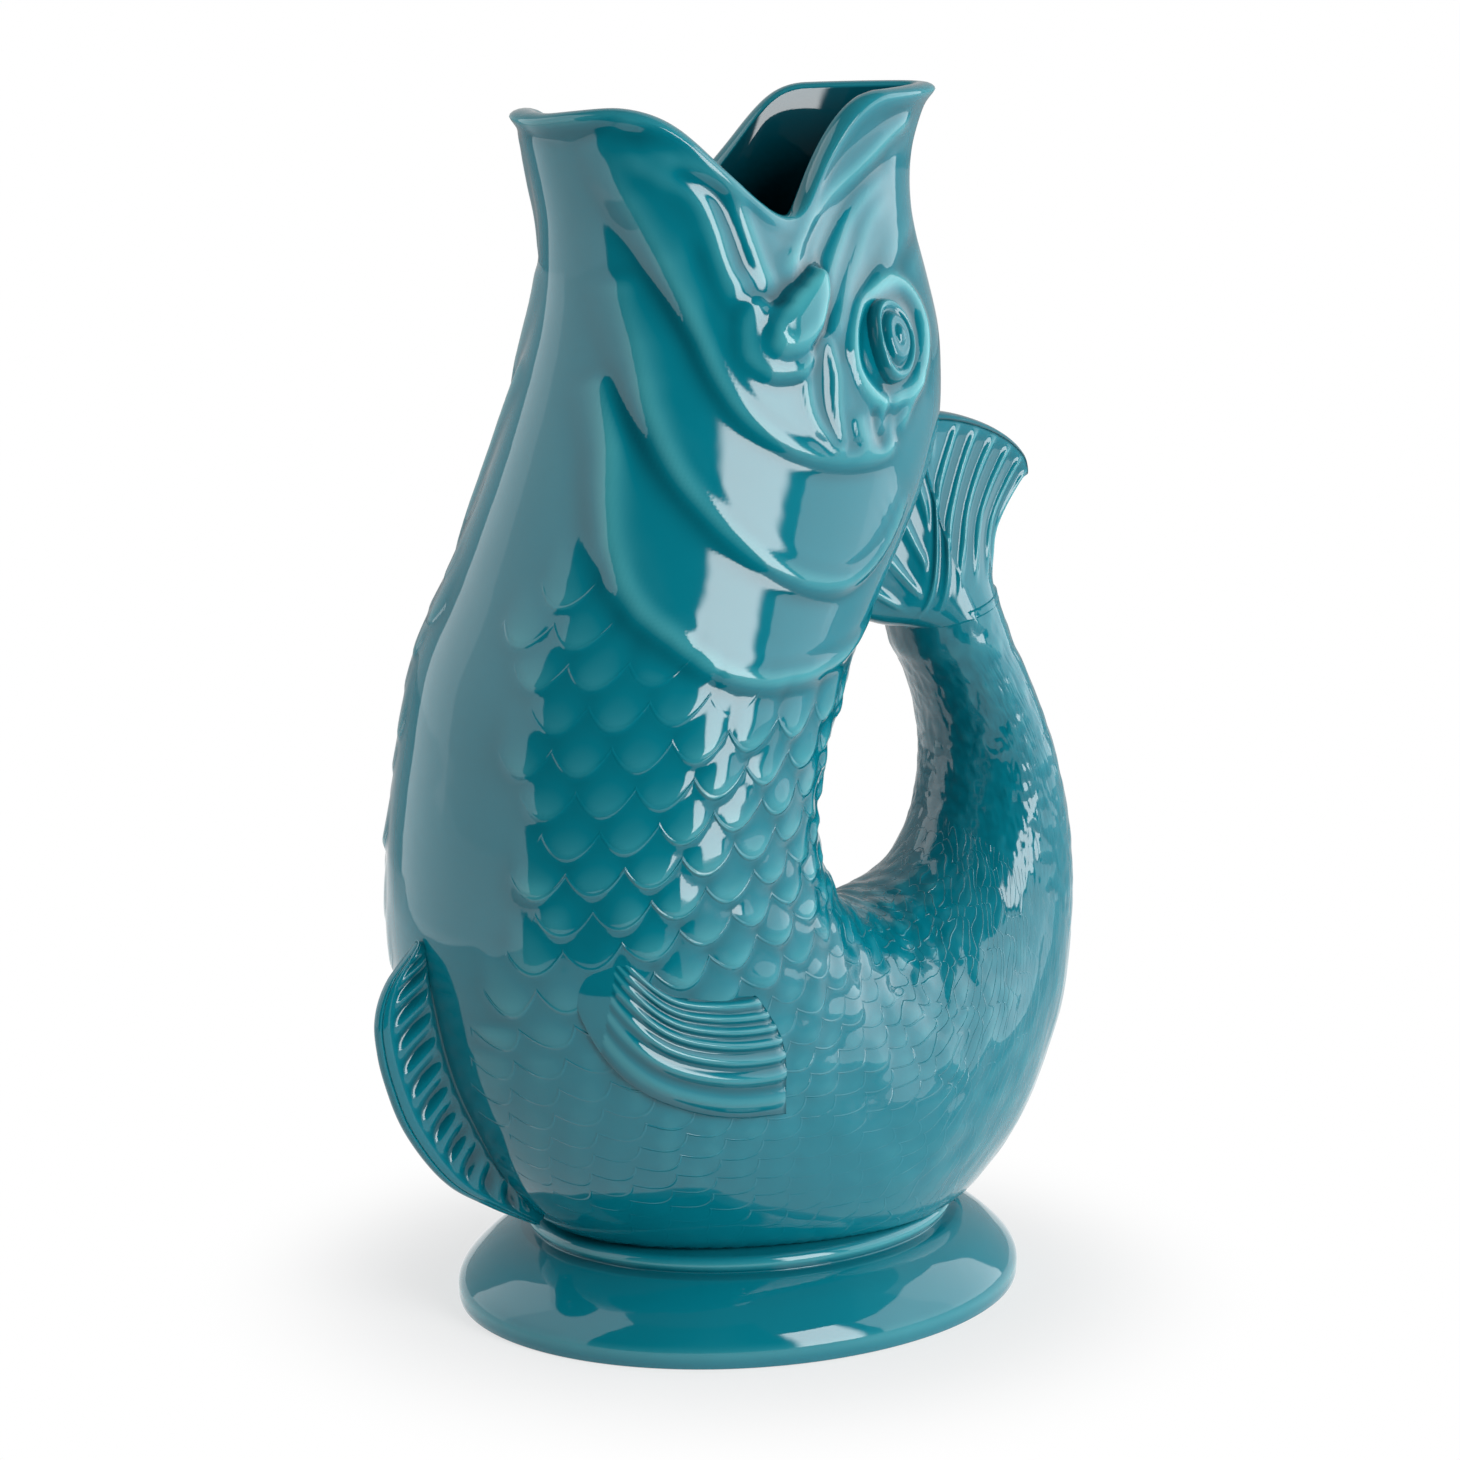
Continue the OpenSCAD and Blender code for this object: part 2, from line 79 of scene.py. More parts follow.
def plain_mesh(name, points, faces, smooth=True):
    """A mesh object at the origin from points in millimetres."""
    mesh = bpy.data.meshes.new(name)
    mesh.from_pydata((np.asarray(points, float).reshape(-1, 3) * 0.001).tolist(), [], faces)
    mesh.polygons.foreach_set("use_smooth", [smooth] * len(mesh.polygons))
    mesh.update()
    return placed(name, mesh)


def upright_sheet(name, first_turn, last_turn, count, low, high):
    """A curved sheet that stands round the jug between two compass turns. low and high are
    the distance from the jug and the height of its two long edges."""
    turns = radians(linspace(first_turn, last_turn, count))
    points = [(away * cos(a), away * sin(a), z) for away, z in (low, high) for a in turns]
    faces = [(k, k + 1, k + 1 + count, k + count) for k in range(count - 1)]
    return plain_mesh(name, points, faces, smooth=False)


class Tree:
    """Makes the nodes of one tree. An input is a plain value or another node's output."""

    def __init__(self, data):
        self.data, self.nodes = data, data.nodes

    def node(self, kind, inputs=None, **settings):
        node = self.nodes.new(kind)
        for word, value in settings.items():
            setattr(node, word, value)
        return self.fill(node, inputs or {})

    def fill(self, node, inputs):
        for socket, value in inputs.items():
            if isinstance(value, bpy.types.NodeSocket):
                self.data.links.new(value, node.inputs[socket])
            else:
                node.inputs[socket].default_value = value
        return node

    def reckon(self, operation, *values):
        return self.node("ShaderNodeMath", dict(enumerate(values)), operation=operation).outputs[0]

    def times(self, value, *others):
        for other in others:
            value = self.reckon("MULTIPLY", value, other)
        return value

    def ramp(self, value, low, high, at_low=0.0, at_high=1.0, shape="SMOOTHSTEP"):
        """Goes from at_low to at_high as the value goes from low to high."""
        inputs = {"Value": value, "From Min": low, "From Max": high,
                  "To Min": at_low, "To Max": at_high}
        return self.node("ShaderNodeMapRange", inputs, interpolation_type=shape).outputs["Result"]

    def noise(self, place, size, detail):
        inputs = {"Vector": place, "Scale": size, "Detail": detail}
        return self.node("ShaderNodeTexNoise", inputs).outputs["Fac"]

    def stored(self, word):
        """What the mesh keeps under this name."""
        if self.data.type == "GEOMETRY":
            reader = self.node("GeometryNodeInputNamedAttribute", {"Name": word}, data_type="FLOAT")
            return reader.outputs["Attribute"]
        return self.node("ShaderNodeAttribute", attribute_name=word).outputs["Fac"]


def new_material(name):
    material = bpy.data.materials.new(name)
    material.use_nodes = True
    return material, Tree(material.node_tree)


def white_to_the_eye(name, near_shade, glaze_share, paper_shade):
    """Plain white paper that the camera and the glaze see as lit evenly to white.
    near_shade is how much of that the camera still sees under the jug; the rest is real
    shading, so the shadow stays. glaze_share is how much of it the glaze sees."""
    material, tree = new_material(name)
    tree.nodes.clear()
    ray = tree.node("ShaderNodeLightPath").outputs
    seen, mirrored = ray["Is Camera Ray"], glaze_share
    if near_shade < 1:
        place = tree.node("ShaderNodeTexCoord").outputs["Object"]
        far = tree.node("ShaderNodeVectorMath", {0: place}, operation="LENGTH").outputs["Value"]
        seen = tree.times(seen, tree.ramp(far, *table_whitens, near_shade, 1, "SMOOTHERSTEP"))
        mirrored = tree.ramp(far, *table_dims, glaze_share, dimmed_share)
    white = tree.reckon("MAXIMUM", seen, tree.times(ray["Is Glossy Ray"], mirrored))
    white = tree.reckon("MAXIMUM", white, ray["Is Transmission Ray"])
    paper = tree.node("ShaderNodeBsdfDiffuse", {"Color": (*[paper_shade] * 3, 1)})
    glow = tree.node("ShaderNodeEmission", {"Color": (1, 1, 1, 1), "Strength": 1})
    mix = tree.node("ShaderNodeMixShader", {0: white, 1: paper.outputs[0], 2: glow.outputs[0]})
    tree.node("ShaderNodeOutputMaterial", {"Surface": mix.outputs[0]})
    return material


floor_corners = [(x * floor_half, y * floor_half, 0)
                 for x, y in ((-1, -1), (1, -1), (1, 1), (-1, 1))]
floor = plain_mesh("floor", floor_corners, [(0, 1, 2, 3)], smooth=False)
floor.data.materials.append(white_to_the_eye("table_paper", 0.62, 1, 0.8))
sweep = upright_sheet("sweep", -28, 136, 48, (sweep_away, -1), (sweep_away, sweep_high))
sweep.data.materials.append(white_to_the_eye("sweep_paper", 1, 0.45, 0.35))

# a black card that stands round the front of the jug, so that the glaze stays dark there
card = upright_sheet("black_card", -171, -97, 24, (300, 4), (340, 620))
card_black, card_tree = new_material("card_black")
card_tree.fill(card_tree.nodes["Principled BSDF"],
               {"Base Color": (0.02, 0.02, 0.02, 1), "Roughness": 1})
card.data.materials.append(card_black)
card.visible_camera = False
card.visible_shadow = False


def panel(name, turn, away, low, high, width, radiance, feather=0.0, at_table=1.0):
    """An upright rectangular light at a compass turn from the jug, facing it. feather is the
    share of its width over which its sides fade, at_table its share of strength at the bottom."""
    light = bpy.data.lights.new(name, "AREA")
    light.shape = "RECTANGLE"
    light.size, light.size_y = width, high - low
    light.energy = radiance * pi * width * (high - low)
    if feather or at_table < 1:
        light.use_nodes = True
        tree = Tree(light.node_tree)
        spot = tree.node("ShaderNodeNewGeometry").outputs["Parametric"]
        across, up, _ = tree.node("ShaderNodeSeparateXYZ", {0: spot}).outputs
        fade = tree.ramp(tree.reckon("PINGPONG", across, 0.5), 0, max(feather, 1e-4))
        strength = tree.times(fade, tree.ramp(up, 0, light_climb, at_table))
        tree.fill(tree.nodes["Emission"], {"Strength": strength})
    turn = radians(turn)
    toward = Vector((cos(turn), sin(turn), 0))
    lamp = placed(name, light)
    lamp.location = toward * away + Vector((0, 0, (low + high) / 2))
    lamp.rotation_euler = toward.to_track_quat("Z", "Y").to_euler()
    lamp.visible_camera = False


panel("left_panel", 148, 0.4, 0.002, 0.95, 0.648, 1.55, at_table=0.75)
panel("softbox", -79, 1.5, 0.01, 1.45, 0.76, 9.6, feather=0.16)
panel("right_diffuser", -27, 1.4, 0.01, 1.35, 1.82, 2.2)
world = bpy.data.worlds.new("room")
world.use_nodes = True
room = Tree(world.node_tree)
room.fill(room.nodes["Background"], {"Color": (0.5, 0.5, 0.5, 1), "Strength": 0.2})
scene.world = world

# Foot
# The oval foot that carries the jug: clay thrown out like a low bell, a rounded bead at the
# waist, a plain ring underneath. Cast with the jug and covered in the same glaze.
# the deep tone is glaze pooled in hollows, and on the inside walls it is painted shade
deep_glaze_and_shade, glaze_plain = (0, 0.06, 0.085, 1), (0.001, 0.155, 0.205, 1)
glaze_thin = (0.06, 0.33, 0.37, 1)
# how far along a scale its free edge lies, how much it curves back, and its cord's width
scale_edge_at, scale_edge_curve, cord_wide = 0.86, 0.6, 0.085


def teal_glaze():
    """The jug's glaze: glossy, transparent teal that lies deep in hollows and thin on edges.
    The attribute depth is 0 on plain faces, above 0 on edges and below 0 in hollows; it is also
    below 0 on the inside walls, where it is painted shade."""
    material, tree = new_material("teal_glaze")
    reckon, times, stored = tree.reckon, tree.times, tree.stored
    place = tree.node("ShaderNodeTexCoord").outputs["Object"]
    cloud = tree.noise(place, 17, 3)
    # the fine cord along the free edge of each scale, where scale_edge says there are scales
    row = stored("scale_row")
    whole = reckon("FLOOR", row)
    shift = times(reckon("FLOORED_MODULO", whole, 2), 0.5)
    column = reckon("ADD", stored("scale_column"), shift)
    aside = times(reckon("SUBTRACT", column, reckon("ROUND", column)), 2)
    reach = reckon("MULTIPLY_ADD", times(aside, aside), scale_edge_curve,
                   reckon("SUBTRACT", row, whole))
    off_edge = reckon("ABSOLUTE", reckon("SUBTRACT", reach, scale_edge_at))
    worn = tree.ramp(cloud, 0.35, 0.62, 0.35, 1, "LINEAR")
    cord = times(stored("scale_edge"), worn, tree.ramp(off_edge, 0, cord_wide, 1, 0))
    drift = tree.ramp(cloud, 0.3, 0.7, -0.1, 0.1, "LINEAR")
    thin = reckon("ADD", reckon("MULTIPLY_ADD", cord, 0.25, stored("depth")), drift)
    tint = tree.node("ShaderNodeValToRGB", {"Fac": tree.ramp(thin, -1, 1, shape="LINEAR")})
    stops = tint.color_ramp.elements
    stops[0].color, stops[1].color = deep_glaze_and_shade, glaze_thin
    stops.new(0.5).color = glaze_plain
    ripple = tree.node("ShaderNodeBump", {"Strength": 0.08, "Distance": 0.0012,
                                          "Height": tree.noise(place, 80, 2)})
    edging = tree.node("ShaderNodeBump", {"Strength": 1, "Distance": 0.00026, "Height": cord,
                                          "Normal": ripple.outputs["Normal"]})
    tree.fill(tree.nodes["Principled BSDF"], {
        "Roughness": 0.055, "IOR": 1.5, "Base Color": tint.outputs["Color"],
        "Normal": edging.outputs["Normal"]})
    return material


glaze = teal_glaze()


def store(item, **layers):
    """Keeps arrays of one value a point on a mesh, by name."""
    for word, values in layers.items():
        layer = item.data.attributes.new(word, "FLOAT", "POINT")
        layer.data.foreach_set("value", np.ascontiguousarray(values, np.float32).ravel())


def set_glaze_depth_and_shade(item, values):
    """Stores how thin (+) or deep (-) the glaze lies at each point, and the painted shade of the
    inside walls.
    """
    store(item, depth=clip(values, -1, 1))


def finish_piece(item, *nodes):
    """Glazes a piece, hangs it on the root and hides the CAD parts of the nodes it stands for."""
    item.data.materials.append(glaze)
    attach(item, "root")
    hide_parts(*nodes)


def around_faces(rows, across):
    """Quads of a tube of rows of points that close on themselves."""
    i, k = np.meshgrid(np.arange(rows - 1), np.arange(across), indexing="ij")
    a, b = i * across + k, i * across + (k + 1) % across
    return stack([a, b, b + across, a + across], -1).reshape(-1, 4).tolist()


def closed_tube(rings, poles):
    """The points and faces of a tube through rings of points, closed on to a pole at each end."""
    rows, across = rings.shape[:2]
    count, last = rows * across, (rows - 1) * across
    faces = around_faces(rows, across)
    faces += [[(k + 1) % across, k, count] for k in range(across)]
    faces += [[last + k, last + (k + 1) % across, count + 1] for k in range(across)]
    return concatenate([rings.reshape(-1, 3), poles]), faces


def bell(value, middle, wide):
    """1 at the middle, and falling off smoothly on both sides."""
    return np.exp(-((value - middle) / wide) ** 2)


def curve_through(table, t):
    """Catmull-Rom curve through the rows of a table, t counted in rows."""
    table = np.asarray(table, float)
    n = len(table)
    t = np.asarray(t, float)
    i = clip(np.floor(t).astype(int), 0, n - 2)
    f = t - i
    f = f[..., None] if table.ndim > 1 else f
    p0, p1, p2, p3 = (table[clip(i + k, 0, n - 1)] for k in (-1, 0, 1, 2))
    return 0.5 * (2 * p1 + (p2 - p0) * f + (2 * p0 - 5 * p1 + 4 * p2 - p3) * f ** 2
                  + (3 * p1 - p0 - 3 * p2 + p3) * f ** 3)


foot_size, waist_size = np.array([125, 108]), np.array([92, 80])
foot_middle, foot_high, hollow_high, waist_high = 3.3, 19, 14, 18.95
foot_rings, foot_spokes = 150, 192
# inward share of the skirt and height in mm, from the hollow underneath to the waist
foot_outline = [
    (1.8, 14), (1.5, 14), (1.2, 12.9), (0.93, 9.3), (0.64, 4.6), (0.42, 1.2), (0.36, 0.2),
    (0.27, 0), (0.12, 0), (0.03, 0.1), (0.008, 0.8), (0, 1.8), (0, 3), (0.018, 4.4), (0.06, 5.8),
    (0.135, 7.4), (0.26, 9.4), (0.42, 11.5), (0.6, 13.2), (0.77, 14.4), (0.92, 15.1), (0.985, 15.6),
    (0.955, 16.3), (0.92, 17.3), (0.94, 18.4), (1, 18.9), (1.12, 18.95)]
foot_line = curve_through(foot_outline, linspace(0, len(foot_outline) - 1, foot_rings))
foot_turn = linspace(0, 2 * pi, foot_spokes, endpoint=False)
in_share = np.maximum(foot_line[:, 0:1], 0.001)
foot_half = (foot_size + (waist_size - foot_size) * in_share) / 2
foot_z = clip(foot_line[:, 1:2], 0, foot_high).repeat(foot_spokes, 1)
foot_points = stack([foot_middle + foot_half[:, :1] * cos(foot_turn),
                     foot_half[:, 1:] * sin(foot_turn), foot_z], -1)
foot_poles = [(foot_middle, 0, hollow_high), (foot_middle, 0, waist_high)]
foot = plain_mesh("oval_foot", *closed_tube(foot_points, foot_poles))
# thin on the bead and low on the skirt, deep in the crease under the bead
outline_in, outline_z = foot_line.T
foot_depth = 0.55 * bell(outline_z, 17.3, 0.9) * (outline_in > 0.9)
foot_depth -= 0.55 * bell(outline_z, 15.3, 0.7) * (outline_in > 0.85)
foot_depth += 0.35 * bell(outline_z, 3.2, 1.2) * (outline_in < 0.1)
set_glaze_depth_and_shade(foot, concatenate([foot_depth.repeat(foot_spokes), [0, 0]]))
finish_piece(foot, "foot")

# Body
# The fish's head and trunk, one shell of cast stoneware about 4.5 mm thick, open at the
# mouth. Lips, cheeks, gill plates and scales are carved in the mould, not added.

# throat-line x and z, back-line x and z, half width, one row for each station from the lip
fish_stations = np.array([
    (-50.5, 250, 48, 251.5, 31), (-47.5, 238.5, 43.5, 239.5, 30), (-45, 226.5, 43, 227.5, 30.5),
    (-45, 213, 44.5, 213.5, 33), (-48, 199.5, 44.5, 200, 35.5), (-54.5, 181, 43.5, 183, 37.5),
    (-63, 160, 34.5, 165, 41), (-72, 140, 22, 148, 44), (-76, 118, 12, 129, 45.5),
    (-78.5, 97, 7.5, 111, 45.5), (-78, 76, 10.5, 96, 45), (-70, 50, 18, 85, 44),
    (-50, 23, 26, 80, 42), (2, -7, 33.5, 79.5, 41.5), (51, 13, 41, 82, 34.5),
    (75, 39, 47.5, 87, 26.5), (83.5, 62, 51, 95, 21.5), (84.5, 86, 52.5, 104.5, 19),
    (80, 107, 52, 114, 17.5), (73, 125, 48.5, 123.5, 16), (66, 139, 43.5, 132.5, 14.5),
    (63, 150, 40, 145, 13)])
fish_shift, clay, seat_z = 3.3, 4.5, 19
# one station's length at the rim, and how far the mouth dips at the corners of the jaws
rim_station_long, mouth_dip = 11.5, 22
tail_start, tail_end, bore_end = 16, 20.5, 19.8
around = 304
lip_round, lip_angles = 1.4, [22, 45, 68, 90, 112, 135, 158]


def soft(t):
    t = clip(t, 0, 1)
    return t * t * (3 - 2 * t)


def below_rim(row, turn):
    """The station of a row once the dip of the mouth at the corners of the jaws is let in."""
    c = cos(turn) + 0.08
    d = clip(np.where(c < 0, -c / 0.8, c / 0.66), 0, 1)
    dip = mouth_dip / rim_station_long * cos(d * pi / 2) ** 2
    return row + dip * clip(1 - row / 5, 0, 1)


def skin(station, turn, inset=0.0):
    """A point of the fish: turn runs from the back (0) to the throat (pi), in mm."""
    station, turn = np.broadcast_arrays(np.asarray(station, float), np.asarray(turn, float))
    row = curve_through(fish_stations, station)
    throat, back = row[..., 0:2], row[..., 2:4]
    arm = (back - throat) / 2
    reach = norm(arm, axis=-1, keepdims=True)
    c = cos(turn)
    jaw = 0.42 * soft(c + 0.6) + 0.2 * clip(c, 0, 1) ** 4
    half = row[..., 4] * (1 - jaw * (1 - soft((station - 1.6) / 2.6)))
    mid = (throat + back) / 2 + arm / reach * (reach - inset) * c[..., None]
    level = mid[..., 1] - seat_z - inset
    z = seat_z + inset + (level + np.sqrt(level ** 2 + 0.5)) / 2
    return stack([mid[..., 0] + fish_shift, (half - inset) * sin(turn), z], -1)


def skin_out(station, turn):
    """The outward unit normal of the fish at a station and turn."""
    step = 0.01
    along = skin(station + step, turn) - skin(station - step, turn)
    across = skin(station, turn + step) - skin(station, turn - step)
    normal = np.cross(along, across)
    return normal / norm(normal, axis=-1, keepdims=True)


turns = linspace(0, 2 * pi, around, endpoint=False)
turns = turns + 0.17 * sin(2 * turns)  # closer together on the flanks


def even_rows(start, end, count, turn=1.85):
    """Rows spaced evenly along the flank of the fish."""
    fine = linspace(start, end, 2001)
    path = skin(fine, turn)
    run = concatenate([[0], np.cumsum(norm(np.diff(path, axis=0), axis=1))])
    return interp(linspace(0, run[-1], count), run, fine)


body_spans = [(0, 5.4, 92), (5.4, 10.5, 122), (10.5, tail_start, 78)]
spans = body_spans + [(tail_start, tail_end, 86)]
sheet_rows = concatenate([[0]] + [even_rows(*span)[1:] for span in spans])
seam = sum(count - 1 for _, _, count in body_spans)
row_grid, turn_grid = np.meshgrid(sheet_rows, turns, indexing="ij")
under_rim = row_grid * rim_station_long
station_grid = below_rim(row_grid, turn_grid)
smooth_skin = skin(station_grid, turn_grid)
smooth_out = skin_out(station_grid, turn_grid)

# the carving is drawn on one half of the fish and mirrored to the other
half = around // 2 + 1
half_points, half_out = smooth_skin[:, :half], smooth_out[:, :half]
half_station, half_turn = station_grid[:, :half], np.degrees(turn_grid[:, :half])
carved = np.zeros(half_points.shape[:2])


def drawn(marks, closed=False, fineness=14):
    """A line drawn on the skin through marks of station and turn, as points."""
    marks = np.asarray(marks, float)
    if closed:
        marks = concatenate([marks[-1:], marks, marks[:2]])
        t = linspace(1, len(marks) - 2, (len(marks) - 3) * fineness, endpoint=False)
    else:
        t = linspace(0, len(marks) - 1, (len(marks) - 1) * fineness + 1)
    line = curve_through(marks, t)
    return skin(line[:, 0], radians(line[:, 1]))


def measure(marks, reach, inside=None, closed=False):
    """For skin points within reach of a drawn line: their indices, how far they lie from it
    (plus on the side of the mark inside), and how far along it, 0 to 1."""
    path = drawn(marks, closed)
    low, high = path.min(0) - reach, path.max(0) + reach
    close = np.nonzero(np.all((half_points > low) & (half_points < high), axis=-1))
    spot, facing = half_points[close], half_out[close]
    gap = norm(spot[:, None] - path[None], axis=-1)
    nearest = gap.argmin(1)
    away = gap[np.arange(len(spot)), nearest]
    step = (np.roll(path, -1, 0) - np.roll(path, 1, 0)) if closed else np.gradient(path, axis=0)
    step = step / norm(step, axis=-1, keepdims=True)
    side = ((spot - path[nearest]) * np.cross(facing, step[nearest])).sum(-1)
    if inside is not None:
        home = skin(inside[0], radians(inside[1]))
        side = side * np.sign(side[norm(spot - home, axis=-1).argmin()])
    keep = away < reach
    where = tuple(index[keep] for index in close)
    return where, (np.where(side < 0, -away, away))[keep], nearest[keep] / (len(path) - 1)


def ends(t, fade=0.12):
    """1 along a line, easing to 0 at both ends."""
    return soft(t / fade) * soft((1 - t) / fade)


def carve_ridge(marks, high, wide, fade=0.15):
    """A rounded ridge (or, with high below 0, a groove) along a drawn line."""
    where, away, t = measure(marks, wide * 2.6)
    carved[where] += high * bell(away, 0, wide) * ends(t, fade)


def plate_edge(marks, inside, reach=34):
    """The crest of a gill plate from marks of station, turn, width and height of the drop:
    how far every skin point lies inside it, the run 0 to 1, and the two sizes there."""
    marks = np.asarray(marks, float)
    where, away, t = measure(marks[:, :2], reach, inside)
    depth_in, run = np.full(carved.shape, -float(reach)), np.zeros(carved.shape)
    depth_in[where], run[where] = away, t
    wide, high = (interp(run * (len(marks) - 1), range(len(marks)), marks[:, k]) for k in (2, 3))
    return depth_in, run, wide, high


def carve_plate(crest, before):
    """A plate that climbs from the foot of the drop before it to its own crest, and drops."""
    away, t, wide, high = crest
    drop = clip(away / wide + 1, 0, 1)
    drop = 0.6 * drop + 0.4 * soft(drop)
    before = np.maximum(before, 0)
    climb = before / np.maximum(before + np.maximum(away, 0), 1e-3)
    lift = high * drop * clip(climb, 0, 1)
    lift -= 0.18 * bell(away, 3.2, 0.8) * soft((t - 0.3) / 0.1)
    carved[:] += lift * ends(t, 0.05)


def carve_pillow(marks, inside, high, round_over, groove=0.14, on=1.0):
    """A pillow-shaped form inside a closed drawn line, laid over what is there."""
    where, away, _ = measure(marks, 26, inside, closed=True)
    rise = 1 - clip((away + 0.3) / round_over, 0, 1)
    form = high * np.sqrt(clip(1 - rise ** 2, 0, 1))
    old = carved[where]
    carved[where] = np.where(away > -0.3, np.maximum(old, on + form), old)
    carved[where] -= groove * high * bell(away, -1.2, 0.9) * (away < 0)


def carve_dish(marks, inside, rim, deep, wide=1.1):
    """A hollow leaf inside a closed line, with a raised rim along it."""
    where, away, _ = measure(marks, 14, inside, closed=True)
    carved[where] += rim * bell(away, 0, wide) - deep * soft((away - 0.6) / 2.2)


# gill plates: each laps over the next
crest_a = plate_edge([
    (0.3, 154, 7, 0.3), (0.62, 151, 7, 0.8), (1.42, 145, 6.5, 1.8), (2.38, 137.5, 5, 2.3),
    (2.95, 133, 3.6, 2), (3.45, 129, 2.6, 1.6), (3.95, 124, 2.4, 1.4), (4.4, 116, 2.4, 1.3),
    (4.72, 106, 2.3, 1.2), (4.92, 96, 2.3, 1.2), (5.02, 85.5, 2.3, 1.2), (5.03, 75, 2.3, 1.2),
    (4.95, 66, 2.3, 0.9)], (4.2, 100))
crest_b = plate_edge([
    (2.5, 152, 9, 0.4), (2.94, 151, 9, 1), (3.58, 146, 8, 1.7), (4.1, 142, 6.5, 2),
    (4.46, 138, 5, 1.9), (4.95, 130, 3.4, 1.6), (5.33, 121, 2.6, 1.4), (5.69, 110, 2.4, 1.3),
    (6, 98, 2.3, 1.3), (6.22, 86, 2.3, 1.3), (6.32, 74, 2.3, 1.3), (6.22, 65, 2.3, 1.2),
    (5.95, 58, 2.3, 1), (5.5, 54, 2.3, 0.6)], (5.2, 100))
crest_c = plate_edge([
    (3.9, 158, 8, 0.4), (4.3, 153, 8, 1), (4.74, 148, 7, 1.5), (5.2, 145, 6, 1.7),
    (5.7, 140, 5, 1.8), (6.2, 131, 4, 1.8), (6.6, 118, 3, 1.7), (6.92, 106, 2.6, 1.6),
    (7.12, 94, 2.5, 1.6), (7.2, 80, 2.5, 1.6), (7.2, 66, 2.4, 1.5), (7.12, 50, 2.3, 1.3),
    (6.85, 28, 2.3, 0.8)], (5.6, 100))
carve_plate(crest_c, -crest_b[0] - crest_b[2])
carve_plate(crest_b, -crest_a[0] - crest_a[2])
carve_plate(crest_a, 30 - crest_a[0])
# rounded ridges, and grooves where the height is below 0, drawn through marks of station
# and turn: their height, half their width and how much of their ends they fade over
for ridge in (
    # lower lip: a rolled rim, a shallow band, an outer roll and the groove behind it
    ([(0.45, 142), (0.8, 127.5), (1.28, 116.5), (2, 112.5), (2.54, 110), (2.8, 107)], 0.75, 2),
    ([(0.55, 150), (0.85, 138), (1.26, 127.5), (1.88, 123), (2.36, 121.5), (2.72, 119),
      (2.94, 115)], 0.7, 2.8),
    ([(0.85, 133), (1.28, 121.5), (2.1, 117.5), (2.6, 115)], -0.55, 1.8),
    ([(1.9, 129), (2.4, 127.5), (2.9, 124.5), (3.3, 122)], -0.4, 2, 0.3),
    # upper lip, and the dark groove between it and the snout
    ([(2.72, 104), (2.3, 96), (1.85, 85.5), (1.24, 66.5), (0.7, 49), (0.45, 32)], 1, 2),
    ([(2.55, 90), (2.06, 76.5), (1.5, 61), (1.05, 45)], -0.5, 1.5),
    # the flow of the snout down past the eye
    ([(1.3, 47), (1.7, 62), (2.26, 75), (2.62, 83.5), (2.98, 91), (3.22, 95)], 0.7, 1.9, 0.2),
    ([(1.7, 45), (2, 59), (2.5, 71), (2.86, 80), (3.36, 87.5), (3.7, 92)], 0.6, 1.7, 0.2),
    ([(2.2, 50), (2.62, 64), (2.95, 74), (3.2, 80)], -0.4, 1.6, 0.3),
):
    carve_ridge(*ridge)
# the jaw's end plate: a round ball behind the corner of the mouth and its pointed lobe
carve_pillow([(2.9, 113), (3, 117.5), (3.36, 119.5), (3.78, 117.5), (4.02, 111.5), (4.08, 106),
              (4, 100), (3.6, 98.5), (3.2, 103.5)], (3.5, 110), 1.4, 6.5, 0.06)
carve_pillow([(2.62, 90.5), (2.76, 97.5), (3, 105), (3.34, 110.5), (3.64, 111), (3.8, 107),
              (3.76, 101.5), (3.5, 96), (3.16, 92), (2.84, 89.5)], (3.3, 102), 2.1, 5.5, 0.03, 1.8)
# the leaf on the cheek
carve_dish([(3.56, 93.5), (3.92, 99), (4.28, 98.7), (4.6, 95.3), (4.9, 87.5), (4.4, 90),
            (3.95, 91)], (4.2, 95), 0.6, 0.4, 0.8)
# the mouth's lip flares a little at its free edge
flare = 0.35 + 0.65 * np.abs(cos(turn_grid[:, :half]))
carved += 1.4 * flare * bell(under_rim[:, :half], 0, 2.6)
# the socket round the eye, with a brow in front of it
socket = [(2.9, 60), (2.98, 70), (3.12, 77), (3.5, 83), (3.92, 84.5), (4.24, 81), (4.46, 73.5),
          (4.4, 64), (4.18, 55.5), (3.8, 51), (3.4, 49.5), (3.05, 53)]
carve_dish(socket, (3.76, 67.5), 0.9, 1, 1.5)
for ridge in (
    # a fold on the lobe and a streak beside the leaf
    ([(3.05, 107.5), (3.44, 108.5), (3.62, 104.5), (3.4, 98.5)], 0.35, 1, 0.25),
    ([(3.85, 88.5), (4.2, 88), (4.55, 86)], 0.3, 1.3, 0.3),
    # creases of the nape, and the tear-shaped grooves from the eye down to the gill
    ([(2.34, 17.5), (2.55, 40), (2.82, 57)], -0.6, 1.6, 0.3),
    ([(4.42, 77.5), (4.72, 76.5), (5.02, 72)], -0.9, 1.2, 0.3),
    ([(4.36, 70.5), (4.66, 73), (4.98, 72)], -0.7, 1, 0.3),
    ([(4.2, 54), (4.48, 62), (4.84, 67.5)], 0.9, 1.5, 0.3),
    ([(4.5, 84), (4.75, 82), (5, 78)], 0.6, 1.4, 0.3),
):
    carve_ridge(*ridge)
# the finely combed strip that runs from the gill up the nape
comb_middle = interp(half_station, [5.4, 6.4], [63, 47])
comb = soft((half_station - 5.35) / 0.3) * soft((6.7 - half_station) / 0.3)
comb = comb * np.exp(-((half_turn - comb_middle) / 9) ** 4)
carved += comb * 0.35 * cos(2 * pi * (half_turn + 24 * half_station) / 4.2)
